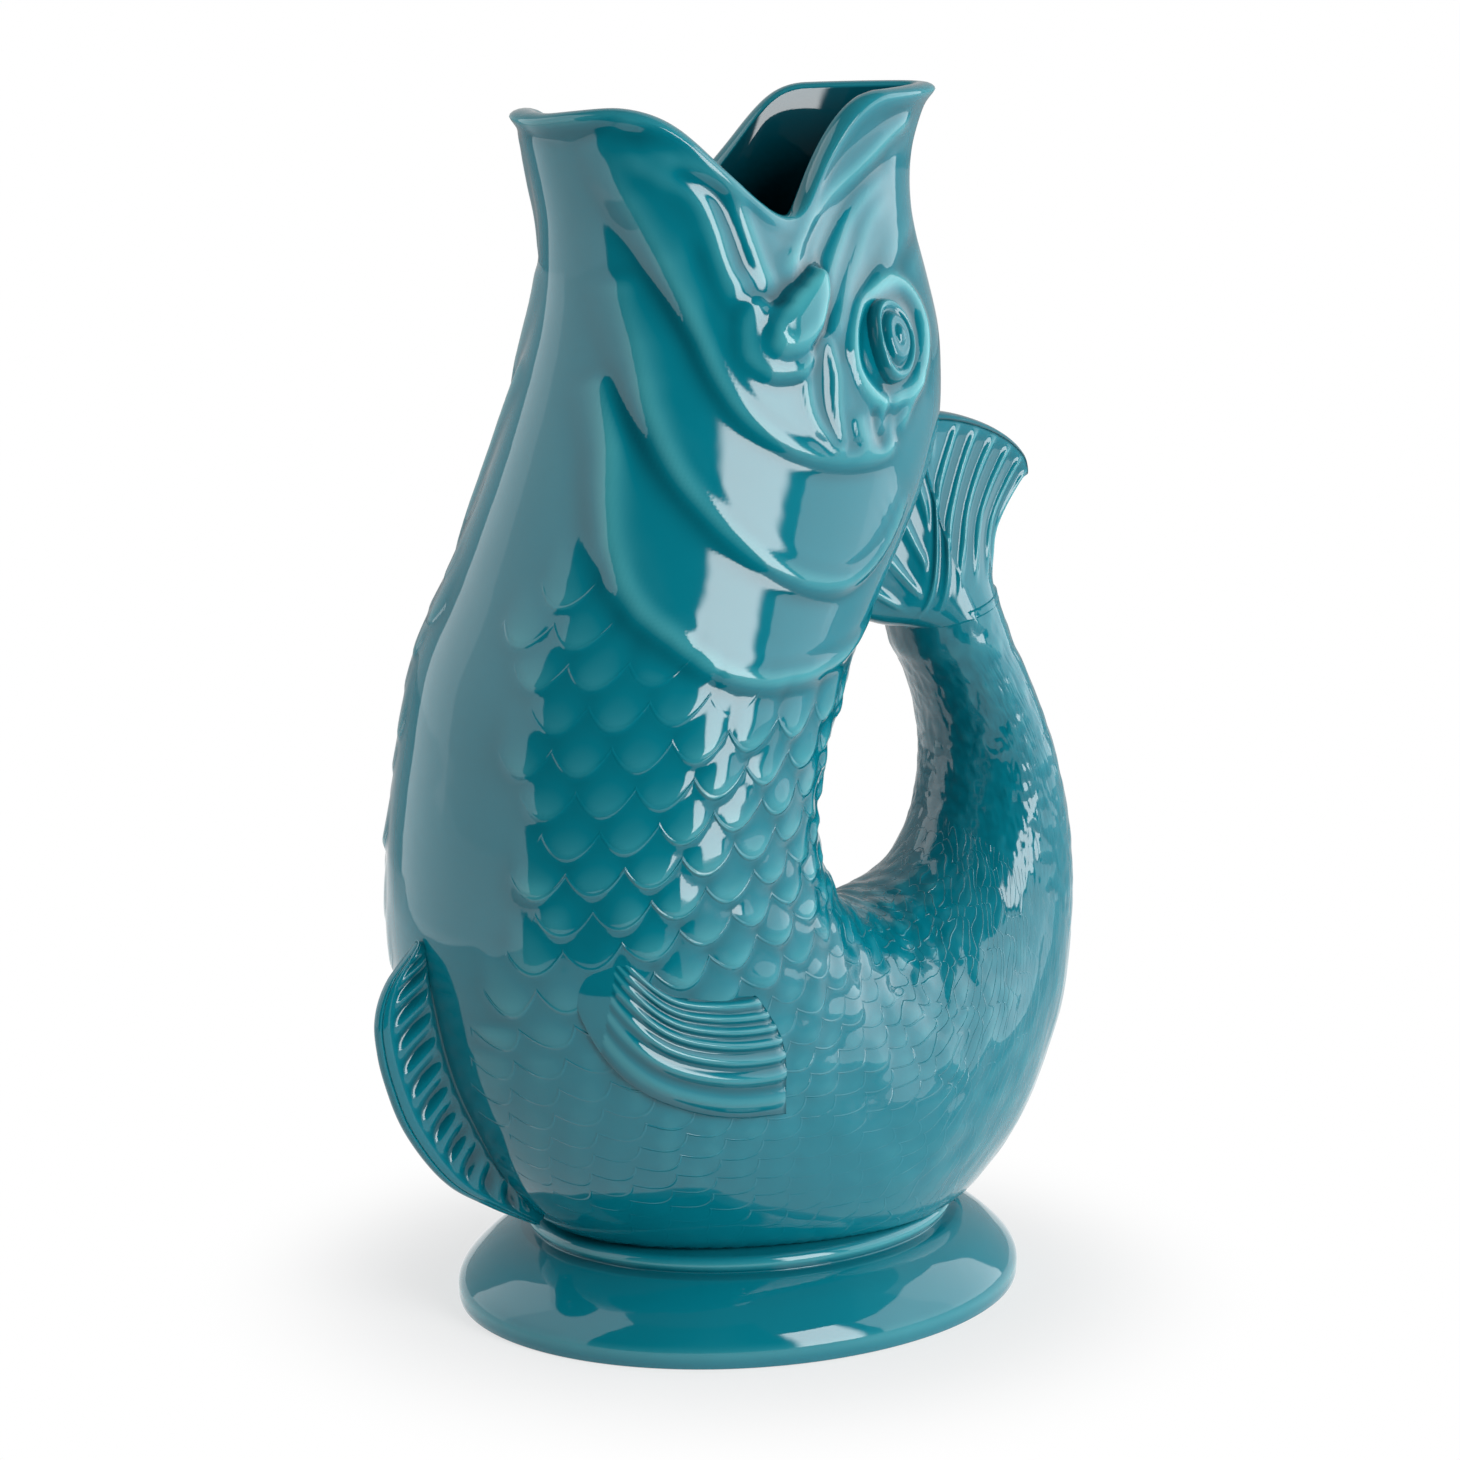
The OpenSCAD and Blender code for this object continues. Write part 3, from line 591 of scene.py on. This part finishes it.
# the tail's skin lies half a millimetre lower, which leaves room for its scales
carved -= 0.5 * soft((half_station - 13) / 2) * (1 - soft((half_station - 19.5) / 0.4))


def softened(values):
    """Each point leaned halfway toward its neighbours along the fish and round it."""
    padded = np.pad(values, ((1, 1), (0, 0)), "edge")
    values = 0.5 * values + 0.25 * (padded[:-2] + padded[2:])
    return 0.5 * values + 0.25 * (np.roll(values, 1, 1) + np.roll(values, -1, 1))


def blurred(values, rows, columns):
    """A running mean over rows along the fish and columns round it."""
    total = np.cumsum(np.pad(values, ((rows, rows), (0, 0)), "edge"), 0)
    total = np.pad(total, ((1, 0), (0, 0)))
    values = (total[2 * rows + 1:] - total[:-2 * rows - 1]) / (2 * rows + 1)
    return sum(np.roll(values, k, 1) for k in range(-columns, columns + 1)) / (2 * columns + 1)


carving = blurred(concatenate([carved, carved[:, -2:0:-1]], 1), 1, 1)
base_skin = smooth_skin + smooth_out * carving[..., None]
folded_turn = np.degrees(np.minimum(turn_grid, 2 * pi - turn_grid))
# the lower lip dips at the spout and stands a little higher beside it, less so on the far side
beside = 0.6 * bell(folded_turn, 148, 12) - 0.9 * bell(folded_turn, 180, 14)
beside = beside - 2.3 * soft(smooth_skin[..., 1] / 5) * bell(folded_turn, 138, 24)
base_skin[..., 2] += beside * bell(under_rim, 0, 9)

# scales: rows counted along the fish and columns round it; on the trunk they are one size,
# and beyond it each row is one small scale long, wherever the skin fans out
first_scale_station, trunk_scale, flank, first_count = 7.4508, 0.3843, 90, 40
skin_step = norm(np.diff(smooth_skin, axis=0), axis=-1)
station_step = np.diff(station_grid, axis=0)
middle_station = (station_grid[1:] + station_grid[:-1]) / 2
scale_long = interp(middle_station, [10.1, 11.5, 13, 16], [7.4, 5, 4.2, 3.4])
row_step = np.where(middle_station < 10.15, station_step / trunk_scale, skin_step / scale_long)
scale_row = concatenate([np.zeros((1, around)), np.cumsum(row_step, 0)])
at_first = np.array([interp(first_scale_station, line, rows)
                     for line, rows in zip(station_grid.T, scale_row.T)])
scale_row = scale_row - at_first + first_count
scales_round = interp(station_grid, [10.15, 11.2, 13, 16, 21], [24, 30, 44, 50, 50])
scale_column = (folded_turn - flank) / 360 * scales_round + first_count
# they crumple where they are small: on the tail and up the back
crumple = soft((64 - folded_turn) / 24) * soft((station_grid - 7) / 0.5)
crumple = clip(soft((station_grid - 11.8) / 2) + crumple, 0, 1)
swirl = (sin(station_grid * 8.7 + folded_turn * 0.21)
         + sin(station_grid * 5.1 - folded_turn * 0.34 + 1.3))
scale_row = scale_row + 0.26 * crumple * swirl
scale_column = scale_column + 0.2 * crumple * np.roll(swirl, 9, 0)
# how high they stand: less along the tail, low on the belly and at the tail's root, worn
# toward the throat, and nearly flat where the pectoral fin is pressed on
lift = interp(station_grid, [5, 10.1, 10.7, 11.5, 13, 16, 19.4, 19.9, 21],
              [1.3, 1.2, 0.72, 0.55, 0.42, 0.34, 0.25, 0, 0])
low_belly = soft((folded_turn - 122) / 10) * soft((station_grid - 9) / 0.8)
tail_root = soft((station_grid - 11.7) / 0.8) * (1 - soft(station_grid - 15.5))
tail_root = tail_root * soft((folded_turn - 70) / 12)
worn = soft((folded_turn - 98) / 16) * (1 - soft((station_grid - 8.3) / 0.8))
under_fin = bell(station_grid, 9.35, 0.55) * bell(folded_turn, 128, 9)
for part, flatter in ((low_belly, 0.5), (tail_root, 0.75), (worn, 0.55), (under_fin, 0.95)):
    lift = lift * (1 - flatter * part)
# hand-made, so the trunk waves a little under them
waves = 0.2 * swirl * soft((station_grid - 7.2) / 0.8) * (1 - soft((station_grid - 13) / 2))
waves = waves * (1 - soft((folded_turn - 92) / 14))
base_skin = base_skin + smooth_out * waves[..., None]
# where scales grow: behind the gill plate, and on the back side of this turn
bare_station = [5.5, 6.2, 7.1, 8, 9, 9.9, 10.8, 11.5, 12, 12.6, 13.2, 14, 15, 16.5]
bare_turn = [167, 159, 152, 148, 145, 153, 167, 165, 158, 148, 150, 160, 175, 190]
gill_turn = [0, 25, 42, 57, 72, 87.5, 100, 113, 127, 138, 149, 158, 166, 180]
gill_station = [6.9, 7.1, 7.3, 7.4, 7.4, 7.35, 7.2, 6.9, 6.55, 6.2, 5.9, 5.9, 6.1, 6.4]


def grows(row_start, column):
    """Whether the scale that starts at a station, centred on this column, is there."""
    turn = (column - first_count) * 360 / scales_round + flank
    behind = soft((row_start - interp(turn, gill_turn, gill_station)) / 0.3 + 0.8)
    return behind * (turn < interp(row_start, bare_station, bare_turn))


def scale_centre(row):
    """The middle of the nearest scale; every other row is half a scale over."""
    shift = 0.5 * (row % 2)
    return np.round(scale_column + shift) - shift


whole_row = np.floor(scale_row)
row_part = scale_row - whole_row
stations_a_row = station_step / np.maximum(row_step, 1e-6)
stations_a_row = concatenate([stations_a_row[:1], stations_a_row])
row_start = station_grid - row_part * stations_a_row
top_centre, low_centre = scale_centre(whole_row), scale_centre(whole_row + 1)
top_there = grows(row_start, top_centre)
low_there = grows(row_start + stations_a_row, low_centre)


def turned_over(faces):
    return [face[::-1] for face in faces]


sheet = plain_mesh("fish_sheet", base_skin, turned_over(around_faces(len(sheet_rows), around)))
store(sheet, row_part=row_part, top_there=top_there * lift, low_there=low_there * lift,
      top_across=np.abs(scale_column - top_centre) * 2,
      low_across=np.abs(scale_column - low_centre) * 2,
      crumple=crumple * soft((station_grid - 7.2) / 0.5))


def tree_with(name, sizes):
    """A geometry tree with a mesh in and out, a material and named sizes."""
    tree = Tree(bpy.data.node_groups.new(name, "GeometryNodeTree"))
    add = tree.data.interface.new_socket
    for in_out, kind in (("INPUT", "Geometry"), ("OUTPUT", "Geometry"), ("INPUT", "Material")):
        add(kind, in_out=in_out, socket_type="NodeSocket" + kind)
    for word, value in sizes.items():
        add(word, in_out="INPUT", socket_type="NodeSocketFloat").default_value = value
    return tree, tree.node("NodeGroupInput").outputs, tree.node("NodeGroupOutput").inputs


def raise_along_normals(tree, start, end, height):
    """Moves the skin out by height, in metres, and ends the tree."""
    normal = tree.node("GeometryNodeInputNormal").outputs[0]
    offset = tree.node("ShaderNodeVectorMath", {0: normal, "Scale": height}, operation="SCALE")
    mesh = start["Geometry"]
    for kind, inputs in (("GeometryNodeSetPosition", {"Offset": offset.outputs[0]}),
                         ("GeometryNodeRealizeInstances", {}),
                         ("GeometryNodeSetMaterial", {"Material": start["Material"]})):
        mesh = tree.node(kind, {"Geometry": mesh, **inputs}).outputs[0]
    tree.data.links.new(mesh, end["Geometry"])
    return tree


def grown(draft, tree, sizes):
    """The points of a draft, in mm, once the tree has run on it. The draft is thrown away."""
    modifier = draft.modifiers.new("carving", "NODES")
    modifier.node_group = tree.data
    sizes = {**sizes, "Material": glaze}
    for socket in tree.data.interface.items_tree:
        if socket.in_out == "INPUT" and socket.name in sizes:
            modifier[socket.identifier] = sizes[socket.name]
    bpy.context.view_layer.update()
    seen = draft.evaluated_get(bpy.context.evaluated_depsgraph_get())
    mesh = bpy.data.meshes.new_from_object(seen)
    draft.modifiers.clear()
    flat = np.empty(len(mesh.vertices) * 3, np.float32)
    mesh.vertices.foreach_get("co", flat)
    bpy.data.meshes.remove(mesh)
    bpy.data.objects.remove(draft)
    return flat.reshape(-1, 3).astype(float) * 1000


scale_sizes = {"Height": 0.001, "Edge": 0.20, "Scallop": 0.6, "Dome": 0.42,
               "Hammer": 0.0006, "Hammer Size": 300.0}


def scale_tree():
    """Lapped scales: each climbs from under the row before it to a rounded free edge, is
    domed across and drops on to the next row."""
    tree, start, end = tree_with("lapped_scales", scale_sizes)
    reckon, times, stored = tree.reckon, tree.times, tree.stored
    part = stored("row_part")
    aside, low_aside = (reckon("POWER", stored(word), 2) for word in ("top_across", "low_across"))
    dome, low_dome = (times(reckon("SUBTRACT", 1, across), start["Dome"])
                      for across in (aside, low_aside))
    reach = reckon("MULTIPLY_ADD", aside, start["Scallop"], part)
    drop = tree.ramp(reach, reckon("SUBTRACT", 1, start["Edge"]), 1, 1, 0)
    top = reckon("ADD", reckon("MULTIPLY_ADD", part, 0.6, 0.2), dome)
    top = times(top, drop, stored("top_there"))
    low = times(reckon("ADD", low_dome, 0.2), part, stored("low_there"))
    height = times(reckon("MAXIMUM", top, low), start["Height"])
    place = tree.node("GeometryNodeInputPosition").outputs[0]
    lumps = reckon("SUBTRACT", tree.noise(place, start["Hammer Size"], 1), 0.5)
    hammer = times(lumps, stored("crumple"), start["Hammer"])
    return raise_along_normals(tree, start, end, reckon("ADD", height, hammer))


scaled = grown(sheet, scale_tree(), scale_sizes).reshape(base_skin.shape)
relief = softened(((scaled - base_skin) * smooth_out).sum(-1))
scaled = base_skin + smooth_out * relief[..., None]
relief = relief + carving
sheet_depth = clip((relief - blurred(relief, 4, 5)) * 1.4, -1, 1)
sheet_along = np.gradient(scaled, axis=0)[seam]
sheet_across = (np.roll(scaled, -1, 1) - np.roll(scaled, 1, 1))[seam]
seam_normals = np.cross(sheet_along, sheet_across)
seam_normals /= norm(seam_normals, axis=-1, keepdims=True)


def shade_through_seam(item, first):
    """Gives the seam ring, from the point first on, the normals of the unbroken skin."""
    normals = np.empty(len(item.data.vertices) * 3, np.float32)
    item.data.vertex_normals.foreach_get("vector", normals)
    normals = normals.reshape(-1, 3)
    normals[first:first + around] = seam_normals
    item.data.normals_split_custom_set_from_vertices(normals.tolist())


# the wall: outside from the seam with the tail up to the rim, over it, and down the inside
inner_rows = linspace(0, tail_start, 24)
inner_grid, inner_turn = np.meshgrid(inner_rows, turns, indexing="ij")
inner_skin = skin(below_rim(inner_grid, inner_turn), inner_turn, clay)
inner_skin[..., 2] += beside[0] * bell(inner_grid * rim_station_long, 0, 9)
lip_out, lip_in = scaled[0], inner_skin[0]
lip_middle, lip_arm = (lip_out + lip_in) / 2, (lip_out - lip_in) / 2
lip_rings = [lip_middle + lip_arm * cos(a) + np.array([0, 0, lip_round]) * sin(a)
             for a in radians(lip_angles)]
body_rings = concatenate([scaled[seam::-1], lip_rings, inner_skin])
# thin glaze over the lip's roll; the whole inside wall gets the darkest tone, which is painted
# shade inside the mouth
body_depth_and_shade = [sheet_depth[seam::-1].ravel(), np.full(len(lip_rings) * around, 0.25),
              np.full(inner_skin[..., 0].size, -1.0)]
ring, next_ring = np.arange(around), (np.arange(around) + 1) % around
last = (len(body_rings) - 1) * around
seam_faces = stack([last + next_ring, next_ring, ring, last + ring], -1).tolist()
body = plain_mesh("fish_body", body_rings, around_faces(len(body_rings), around) + seam_faces)
shade_through_seam(body, 0)
set_glaze_depth_and_shade(body, concatenate(body_depth_and_shade))
scale_edge = top_there * np.minimum(lift / 0.8, 1) * (1 - 0.5 * worn)
lining = np.zeros((len(body_rings) - seam - 1) * around)
store(body, **{word: concatenate([values[seam::-1].ravel(), lining]) for word, values in (
    ("scale_row", scale_row), ("scale_column", scale_column), ("scale_edge", scale_edge))})
finish_piece(body, "body")

# Tail
# The hollow tail, cast with the trunk, closed just under the fin. It gulps air as the
# jug pours. The scales on it are so small that they read as a hammered skin.
bore = skin(*np.meshgrid(linspace(tail_start, bore_end, 20), turns, indexing="ij"), clay)
tail_rings = concatenate([bore[::-1], scaled[seam:]])
tail_points, tail_faces = closed_tube(tail_rings, [bore[-1].mean(0), scaled[-1].mean(0)])
tail = plain_mesh("tail_handle_skin", tail_points, turned_over(tail_faces))
shade_through_seam(tail, len(bore) * around)
# the bore inside the tail is painted a little darker all over, as painted shade
bore_painted_shade = np.full(bore[..., 0].size, -0.25)
set_glaze_depth_and_shade(tail, concatenate([bore_painted_shade, sheet_depth[seam:].ravel(), [0, 0]]))
finish_piece(tail, "tail_handle")

# Tail fin
# The fan at the end of the tail, pressed on the nape so that it closes the handle loop.
# Solid clay, with ribs that spread from its root and broad flutes between them.
fan_points, fan_steps = 460, 84
nape_share, nape_low, nape_top = 0.46, 7.3, 5.05
fan_edge_half = 5
# x and z of the free edge, from the nape to the outer corner
fan_edge = [(47.3, 182), (55.3, 181.3), (63.3, 179.2), (70.8, 175.8), (76.2, 171.5), (78.3, 167)]


def ray_tree():
    """Rays: rounded cords where ray_phase is a whole number, and a plain rim beside them."""
    tree, start, end = tree_with("fin_rays", {"Height": 0.001, "Sharpness": 1.5})
    reckon, times, stored = tree.reckon, tree.times, tree.stored
    wave = reckon("COSINE", times(stored("ray_phase"), 2 * pi))
    cord = reckon("POWER", reckon("MULTIPLY_ADD", wave, 0.5, 0.5), start["Sharpness"])
    shape = reckon("ADD", times(cord, stored("ray_lift")), stored("rim_lift"))
    return raise_along_normals(tree, start, end, times(shape, start["Height"]))


fin_rays = ray_tree()


def cord_share(phase, sharpness):
    """1 along the middle of each ray and 0 halfway between two."""
    return (0.5 + 0.5 * cos(2 * pi * phase)) ** sharpness


def facing_out(points, faces, picked, outward):
    """The faces, all turned over if the one picked looks away from outward."""
    a, b, c = (points[k] for k in faces[picked][:3])
    return turned_over(faces) if np.cross(b - a, c - a) @ outward < 0 else faces


def fin_ring(count, side_power):
    """For the points of a ring, their place f along the fin, 0 to 1, and their side, -1 to 1."""
    turn = linspace(0, 2 * pi, count, endpoint=False)
    side = np.sign(sin(turn)) * np.abs(sin(turn)) ** side_power
    side[np.abs(sin(turn)) < 1e-9] = 0
    return (1 - cos(turn)) / 2, side


def across_cap(first, count, base, inner):
    """Faces across a closed ring whose point k faces point count - k, with inner points
    on each line between them; the ring's first and middle points close the ends."""
    half_count = count // 2

    def spot(k, j):
        if k in (0, half_count) or j == 0:
            return first + k
        if j == inner + 1:
            return first + count - k
        return base + (k - 1) * inner + j - 1

    faces = []
    for k in range(half_count):
        for j in range(inner + 1):
            corners = [spot(k, j), spot(k + 1, j), spot(k + 1, j + 1), spot(k, j + 1)]
            kept = list(dict.fromkeys(corners))
            if len(kept) > 2:
                faces.append(kept)
    return faces


def fin_shell(name, root, edge, steps, side_power, bend, rays, rim, crest, sharpness):
    """A solid fin lofted from a root ring to an edge ring, both running down one side and up
    the other. bend moves points, rays and rim give its relief by (t, f)."""
    count, inner = len(root), 7
    f, side = fin_ring(count, side_power)
    t, tip = linspace(0, 1, steps + 1)[:, None], np.ones((1, 1))
    rim_ring = edge(f, side)
    shell = root[None] * (1 - t[..., None]) + rim_ring[None] * t[..., None] + bend(t, f[None])
    # the crowned cap along the free edge, and the flat one on the root
    ks = np.arange(1, count // 2)
    a = pi * np.arange(1, inner + 1) / (inner + 1)
    cap_f, cap_side = np.repeat(f[ks], inner), (side[ks][:, None] * cos(a)).ravel()
    up = (rim_ring - root)[ks] * [1, 0, 1]
    up /= norm(up, axis=-1, keepdims=True)
    dome = crest * sin(a)[None, :] * np.abs(side[ks])[:, None]
    cap = edge(cap_f, cap_side) + bend(tip, cap_f[None])[0]
    cap = cap + np.repeat(up, inner, 0) * dome.reshape(-1, 1)
    base_mid = (root[ks] + root[count - ks]) / 2
    points = concatenate([shell.reshape(-1, 3), cap, base_mid])
    faces = around_faces(steps + 1, count)
    faces += turned_over(across_cap(steps * count, count, (steps + 1) * count, inner))
    faces += across_cap(0, count, (steps + 1) * count + len(cap), 1)
    picked = (steps // 2) * count + count // 4
    faces = facing_out(points, faces, picked, points[faces[picked][0]] - points.mean(0))
    phase, ray_lift, rim_lift = (np.broadcast_to(values, shell.shape[:2]).ravel()
                                 for values in (*rays(t, f[None]), rim(t, f[None])))
    cap_phase, cap_lift = rays(tip, cap_f[None])
    cap_lift = np.broadcast_to(cap_lift, (1, len(cap)))[0] * np.abs(cos(np.tile(a, len(ks))))
    flat_root, blank = np.zeros(len(base_mid)), np.zeros(len(cap) + len(base_mid))
    draft = plain_mesh("fin_draft", points, faces)
    store(draft, ray_phase=concatenate([phase, cap_phase.ravel(), flat_root]),
          ray_lift=concatenate([ray_lift, cap_lift, flat_root]),
          rim_lift=concatenate([rim_lift, blank]))
    fin = plain_mesh(name, grown(draft, fin_rays, {"Height": 0.001, "Sharpness": sharpness}), faces)
    cord = cord_share(phase, sharpness)
    shade = np.where(ray_lift > 0, cord - 0.45, -0.9 * cord) * np.minimum(np.abs(ray_lift), 1)
    set_glaze_depth_and_shade(fin, concatenate([shade, blank]))
    return fin


def near_line(station, y, sink, throat=False):
    """A point near the back line of the fish, or its throat line, at this height across."""
    half_width = curve_through(fish_stations[:, 4], station)
    turn = np.arcsin(clip(y / half_width, -1, 1))
    turn = pi - turn if throat else turn
    return skin(station, turn) + skin_out(station, turn) * sink


def fan_rim(f, side):
    """The edge ring of the fan: it lies on the nape up to nape_share, and then runs free."""
    station = nape_low + (nape_top - nape_low) * clip(f / nape_share, 0, 1)
    on_skin = near_line(station, side * fan_edge_half, -0.6)
    along = clip((f - nape_share) / (1 - nape_share), 0, 1) * (len(fan_edge) - 1)
    free = curve_through(fan_edge, along)
    free = stack([free[:, 0], side * fan_edge_half * 0.86, free[:, 1]], -1)
    return np.where((f < nape_share)[:, None], on_skin, free)


def fan_bend(t, f):
    pull = -5.6 * sin(pi * t ** 0.85) * clip(f, 0, 1) ** 1.6
    return stack([pull, 0 * pull, 0.25 * pull], -1)


def fan_rays(t, f):
    """Straight ribs that spread from the root, with narrower ones beside the nape."""
    place = (0.87 + 0.085 * t - f) * (10 + 38 * t) / (2.4 + t)
    lift = soft((t - 0.12) / 0.3) * soft((1 - t) / 0.07) * soft((1 - f) / 0.04)
    narrow = 0.6 * soft((t - 0.22) / 0.3) * soft((f - 0.04) / 0.06)
    lift = lift * (0.95 * soft((5.5 - place) / 0.5) + narrow * soft((place - 5.5) / 0.5))
    return np.where(place < 5.5, place, 10 * f), lift


def fan_flutes(t, f):
    return -0.9 * soft((t - 0.2) / 0.4) * soft((1.02 - t) / 0.1) + 0 * f


fan_root = skin(tail_end - 0.14, linspace(0, 2 * pi, fan_points, endpoint=False), -0.06)
fan = fin_shell("tail_fan", fan_root, fan_rim, fan_steps, 0.4, fan_bend, fan_rays, fan_flutes,
                crest=1.6, sharpness=3.4)
finish_piece(fan, "tail_fin")

# Belly fin and anal fin
# Two thin fins along the belly line, pressed on with slip: a rolled rim along the free edge
# and lens-shaped grooves between the rays.
fin_root_half, fin_edge_half, fin_side_power = 3.2, 1.3, 0.5


def belly_web(name, reach, height, heights, count, steps, rays_round):
    """A fin from one station of the belly line to another."""

    def station_at(f):
        return reach[0] + (reach[1] - reach[0]) * f

    def edge(f, side):
        station = station_at(f)
        row = curve_through(fish_stations, station)
        away = row[..., 0:2] - row[..., 2:4]
        away /= norm(away, axis=-1, keepdims=True)
        rise = height * curve_through(heights, f * (len(heights) - 1))
        low = near_line(station, 0 * station, 0, throat=True)
        return stack([low[..., 0] + away[..., 0] * rise, side * fin_edge_half,
                      low[..., 2] + away[..., 1] * rise], -1)

    def grooves(t, f):
        lens = sin(pi * clip((t - 0.16) / 0.66, 0, 1)) ** 0.8
        ease = soft((f - 0.03) / 0.06) * soft((0.97 - f) / 0.06)
        return rays_round * (f - 0.1 * t), -1.05 * lens * ease

    def roll(t, f):
        return 0.45 * bell(t, 0.9, 0.08) - 0.3 * bell(t, 0.1, 0.06) + 0 * f

    def straight(t, f):
        return np.zeros(np.broadcast(t, f).shape + (3,))

    f, side = fin_ring(count, fin_side_power)
    root = near_line(station_at(f), side * fin_root_half, -1, throat=True)
    return fin_shell(name, root, edge, steps, fin_side_power, straight, grooves, roll,
                     crest=0.9, sharpness=1.3)


keel_heights = [0.08, 0.62, 0.92, 1, 1, 0.98, 0.9, 0.72, 0.4, 0.15]
finish_piece(belly_web("keel_fin", (9.49, 11.99), 12.6, keel_heights, 360, 44, 13), "belly_fin")
web_heights = [0.12, 0.7, 1, 1, 0.75, 0.3]
finish_piece(belly_web("anal_web", (15.35, 14.25), 5.9, web_heights, 180, 24, 7), "anal_fin")

# Pectoral fins
# One fin on each side of the belly, swept back like a wing and luted on: seven rounded rays,
# wider toward the lower edge, run from its pointed root to a blunt end.
pectoral_upper = [(9.44, 123.5), (9.78, 116.5), (10.1, 109), (10.3, 99), (10.46, 88)]
pectoral_lower = [(9.52, 134.5), (10.2, 132), (10.85, 124.5), (11.4, 111.5), (11.85, 97)]
pectoral_thick, pectoral_thin, pectoral_sunk = 3.2, 0.8, 1.6
slip, pectoral_rays = 0.2, 7
wing_long, wing_wide = 96, 120


def pectoral(name, side):
    r, f = np.meshgrid(linspace(0, 1, wing_long), linspace(0, 1, wing_wide), indexing="ij")
    upper, lower = curve_through(pectoral_upper, r * 4), curve_through(pectoral_lower, r * 4)
    place = upper + (lower - upper) * f[..., None]
    station, turn = place[..., 0], radians(place[..., 1] - 5 * sin(pi * f) * r)
    shape = sin(pi * f) * soft(r * 5) * soft((1 - r) * 9 + 0.35)
    thick = pectoral_thin + (pectoral_thick - pectoral_thin) * clip(shape, 0, 1) ** 0.42
    # its root sinks into the skin
    thick = thick * soft(r / 0.62) - 0.8 * (1 - soft(r / 0.25))
    surface, facing = skin(station, turn), skin_out(station, turn)
    top = surface + facing * (slip + thick)[..., None]
    bottom = surface - facing * pectoral_sunk
    rings = concatenate([top, bottom[:, ::-1]], 1) * [1, side, 1]
    n = 2 * wing_wide
    faces = around_faces(wing_long, n)
    last = (wing_long - 1) * n
    for j in range(wing_wide - 1):
        ladder = [j, j + 1, n - 2 - j, n - 1 - j]
        faces += [ladder, [last + k for k in ladder[::-1]]]
    middle = (wing_long // 2, wing_wide // 2)
    faces = facing_out(rings.reshape(-1, 3), faces, middle[0] * n + middle[1],
                       facing[middle] * [1, side, 1])
    sweep = soft((r - 0.1 - 0.26 * f) / 0.32) * sin(pi * clip(f, 0.02, 0.98)) ** 0.35
    ray_lift = concatenate([-sweep, 0 * r], 1)
    phase = concatenate([pectoral_rays * (1 - (1 - f) ** 1.3), 0 * r], 1)
    draft = plain_mesh("fin_draft", rings, faces)
    store(draft, ray_phase=phase, ray_lift=ray_lift, rim_lift=0 * phase)
    fin = plain_mesh(name, grown(draft, fin_rays, {"Height": 0.001, "Sharpness": 1.0}), faces)
    set_glaze_depth_and_shade(fin, np.where(ray_lift < 0, 0.45 - cord_share(phase, 1.2), 0).ravel())
    return fin


finish_piece(pectoral("pectoral_left", -1), "pectoral_fin_left")
finish_piece(pectoral("pectoral_right", 1), "pectoral_fin_right")

# Eyes
# A domed eyeball in a rolled lid ring, of the same clay: one is pressed with slip into the
# socket on each side of the head.
eye_station, eye_turn = 3.69, radians(68.7)
eye_rings, eye_spokes = 76, 96
eye_back, eye_front = -2.4, 3
# distance from the middle and height above the cheek
eye_outline = [(9.3, -1.8), (9.1, -0.9), (8.8, 0.1), (8.4, 0.9), (7.9, 1.5), (7.3, 1.75),
               (6.7, 1.5), (6.2, 1.05), (5.8, 0.85), (5.4, 1.1), (4.95, 1.6), (4.4, 2), (3.6, 2.2),
               (2.8, 2.15), (2.2, 2.2), (1.6, 2.6), (0.9, 2.9), (0.3, 3)]


def eye(name, side):
    line = curve_through(eye_outline, linspace(0, len(eye_outline) - 1, eye_rings))
    step = 0.02
    middle, outward = skin(eye_station, eye_turn), skin_out(eye_station, eye_turn)
    per_station = norm(skin(eye_station + step, eye_turn) - middle) / step
    per_turn = norm(skin(eye_station, eye_turn + step) - middle) / step
    a = linspace(0, 2 * pi, eye_spokes, endpoint=False)
    station = eye_station + line[:, 0:1] * sin(a) / per_station
    turn = eye_turn + 0.7 * line[:, 0:1] * cos(a) / per_turn
    points = skin(station, turn) + skin_out(station, turn) * line[:, 1][:, None, None]
    points, faces = closed_tube(points, [middle + outward * h for h in (eye_back, eye_front)])
    points, outward = points * [1, side, 1], outward * [1, side, 1]
    item = plain_mesh(name, points, facing_out(points, faces, -1, outward))
    shade = 0.35 * bell(line[:, 0], 7.3, 0.8) - 0.5 * bell(line[:, 0], 5.8, 0.5)
    set_glaze_depth_and_shade(item, concatenate([shade.repeat(eye_spokes), [0, 0]]))
    return item


finish_piece(eye("eye_ball_left", -1), "eye_left")
finish_piece(eye("eye_ball_right", 1), "eye_right")
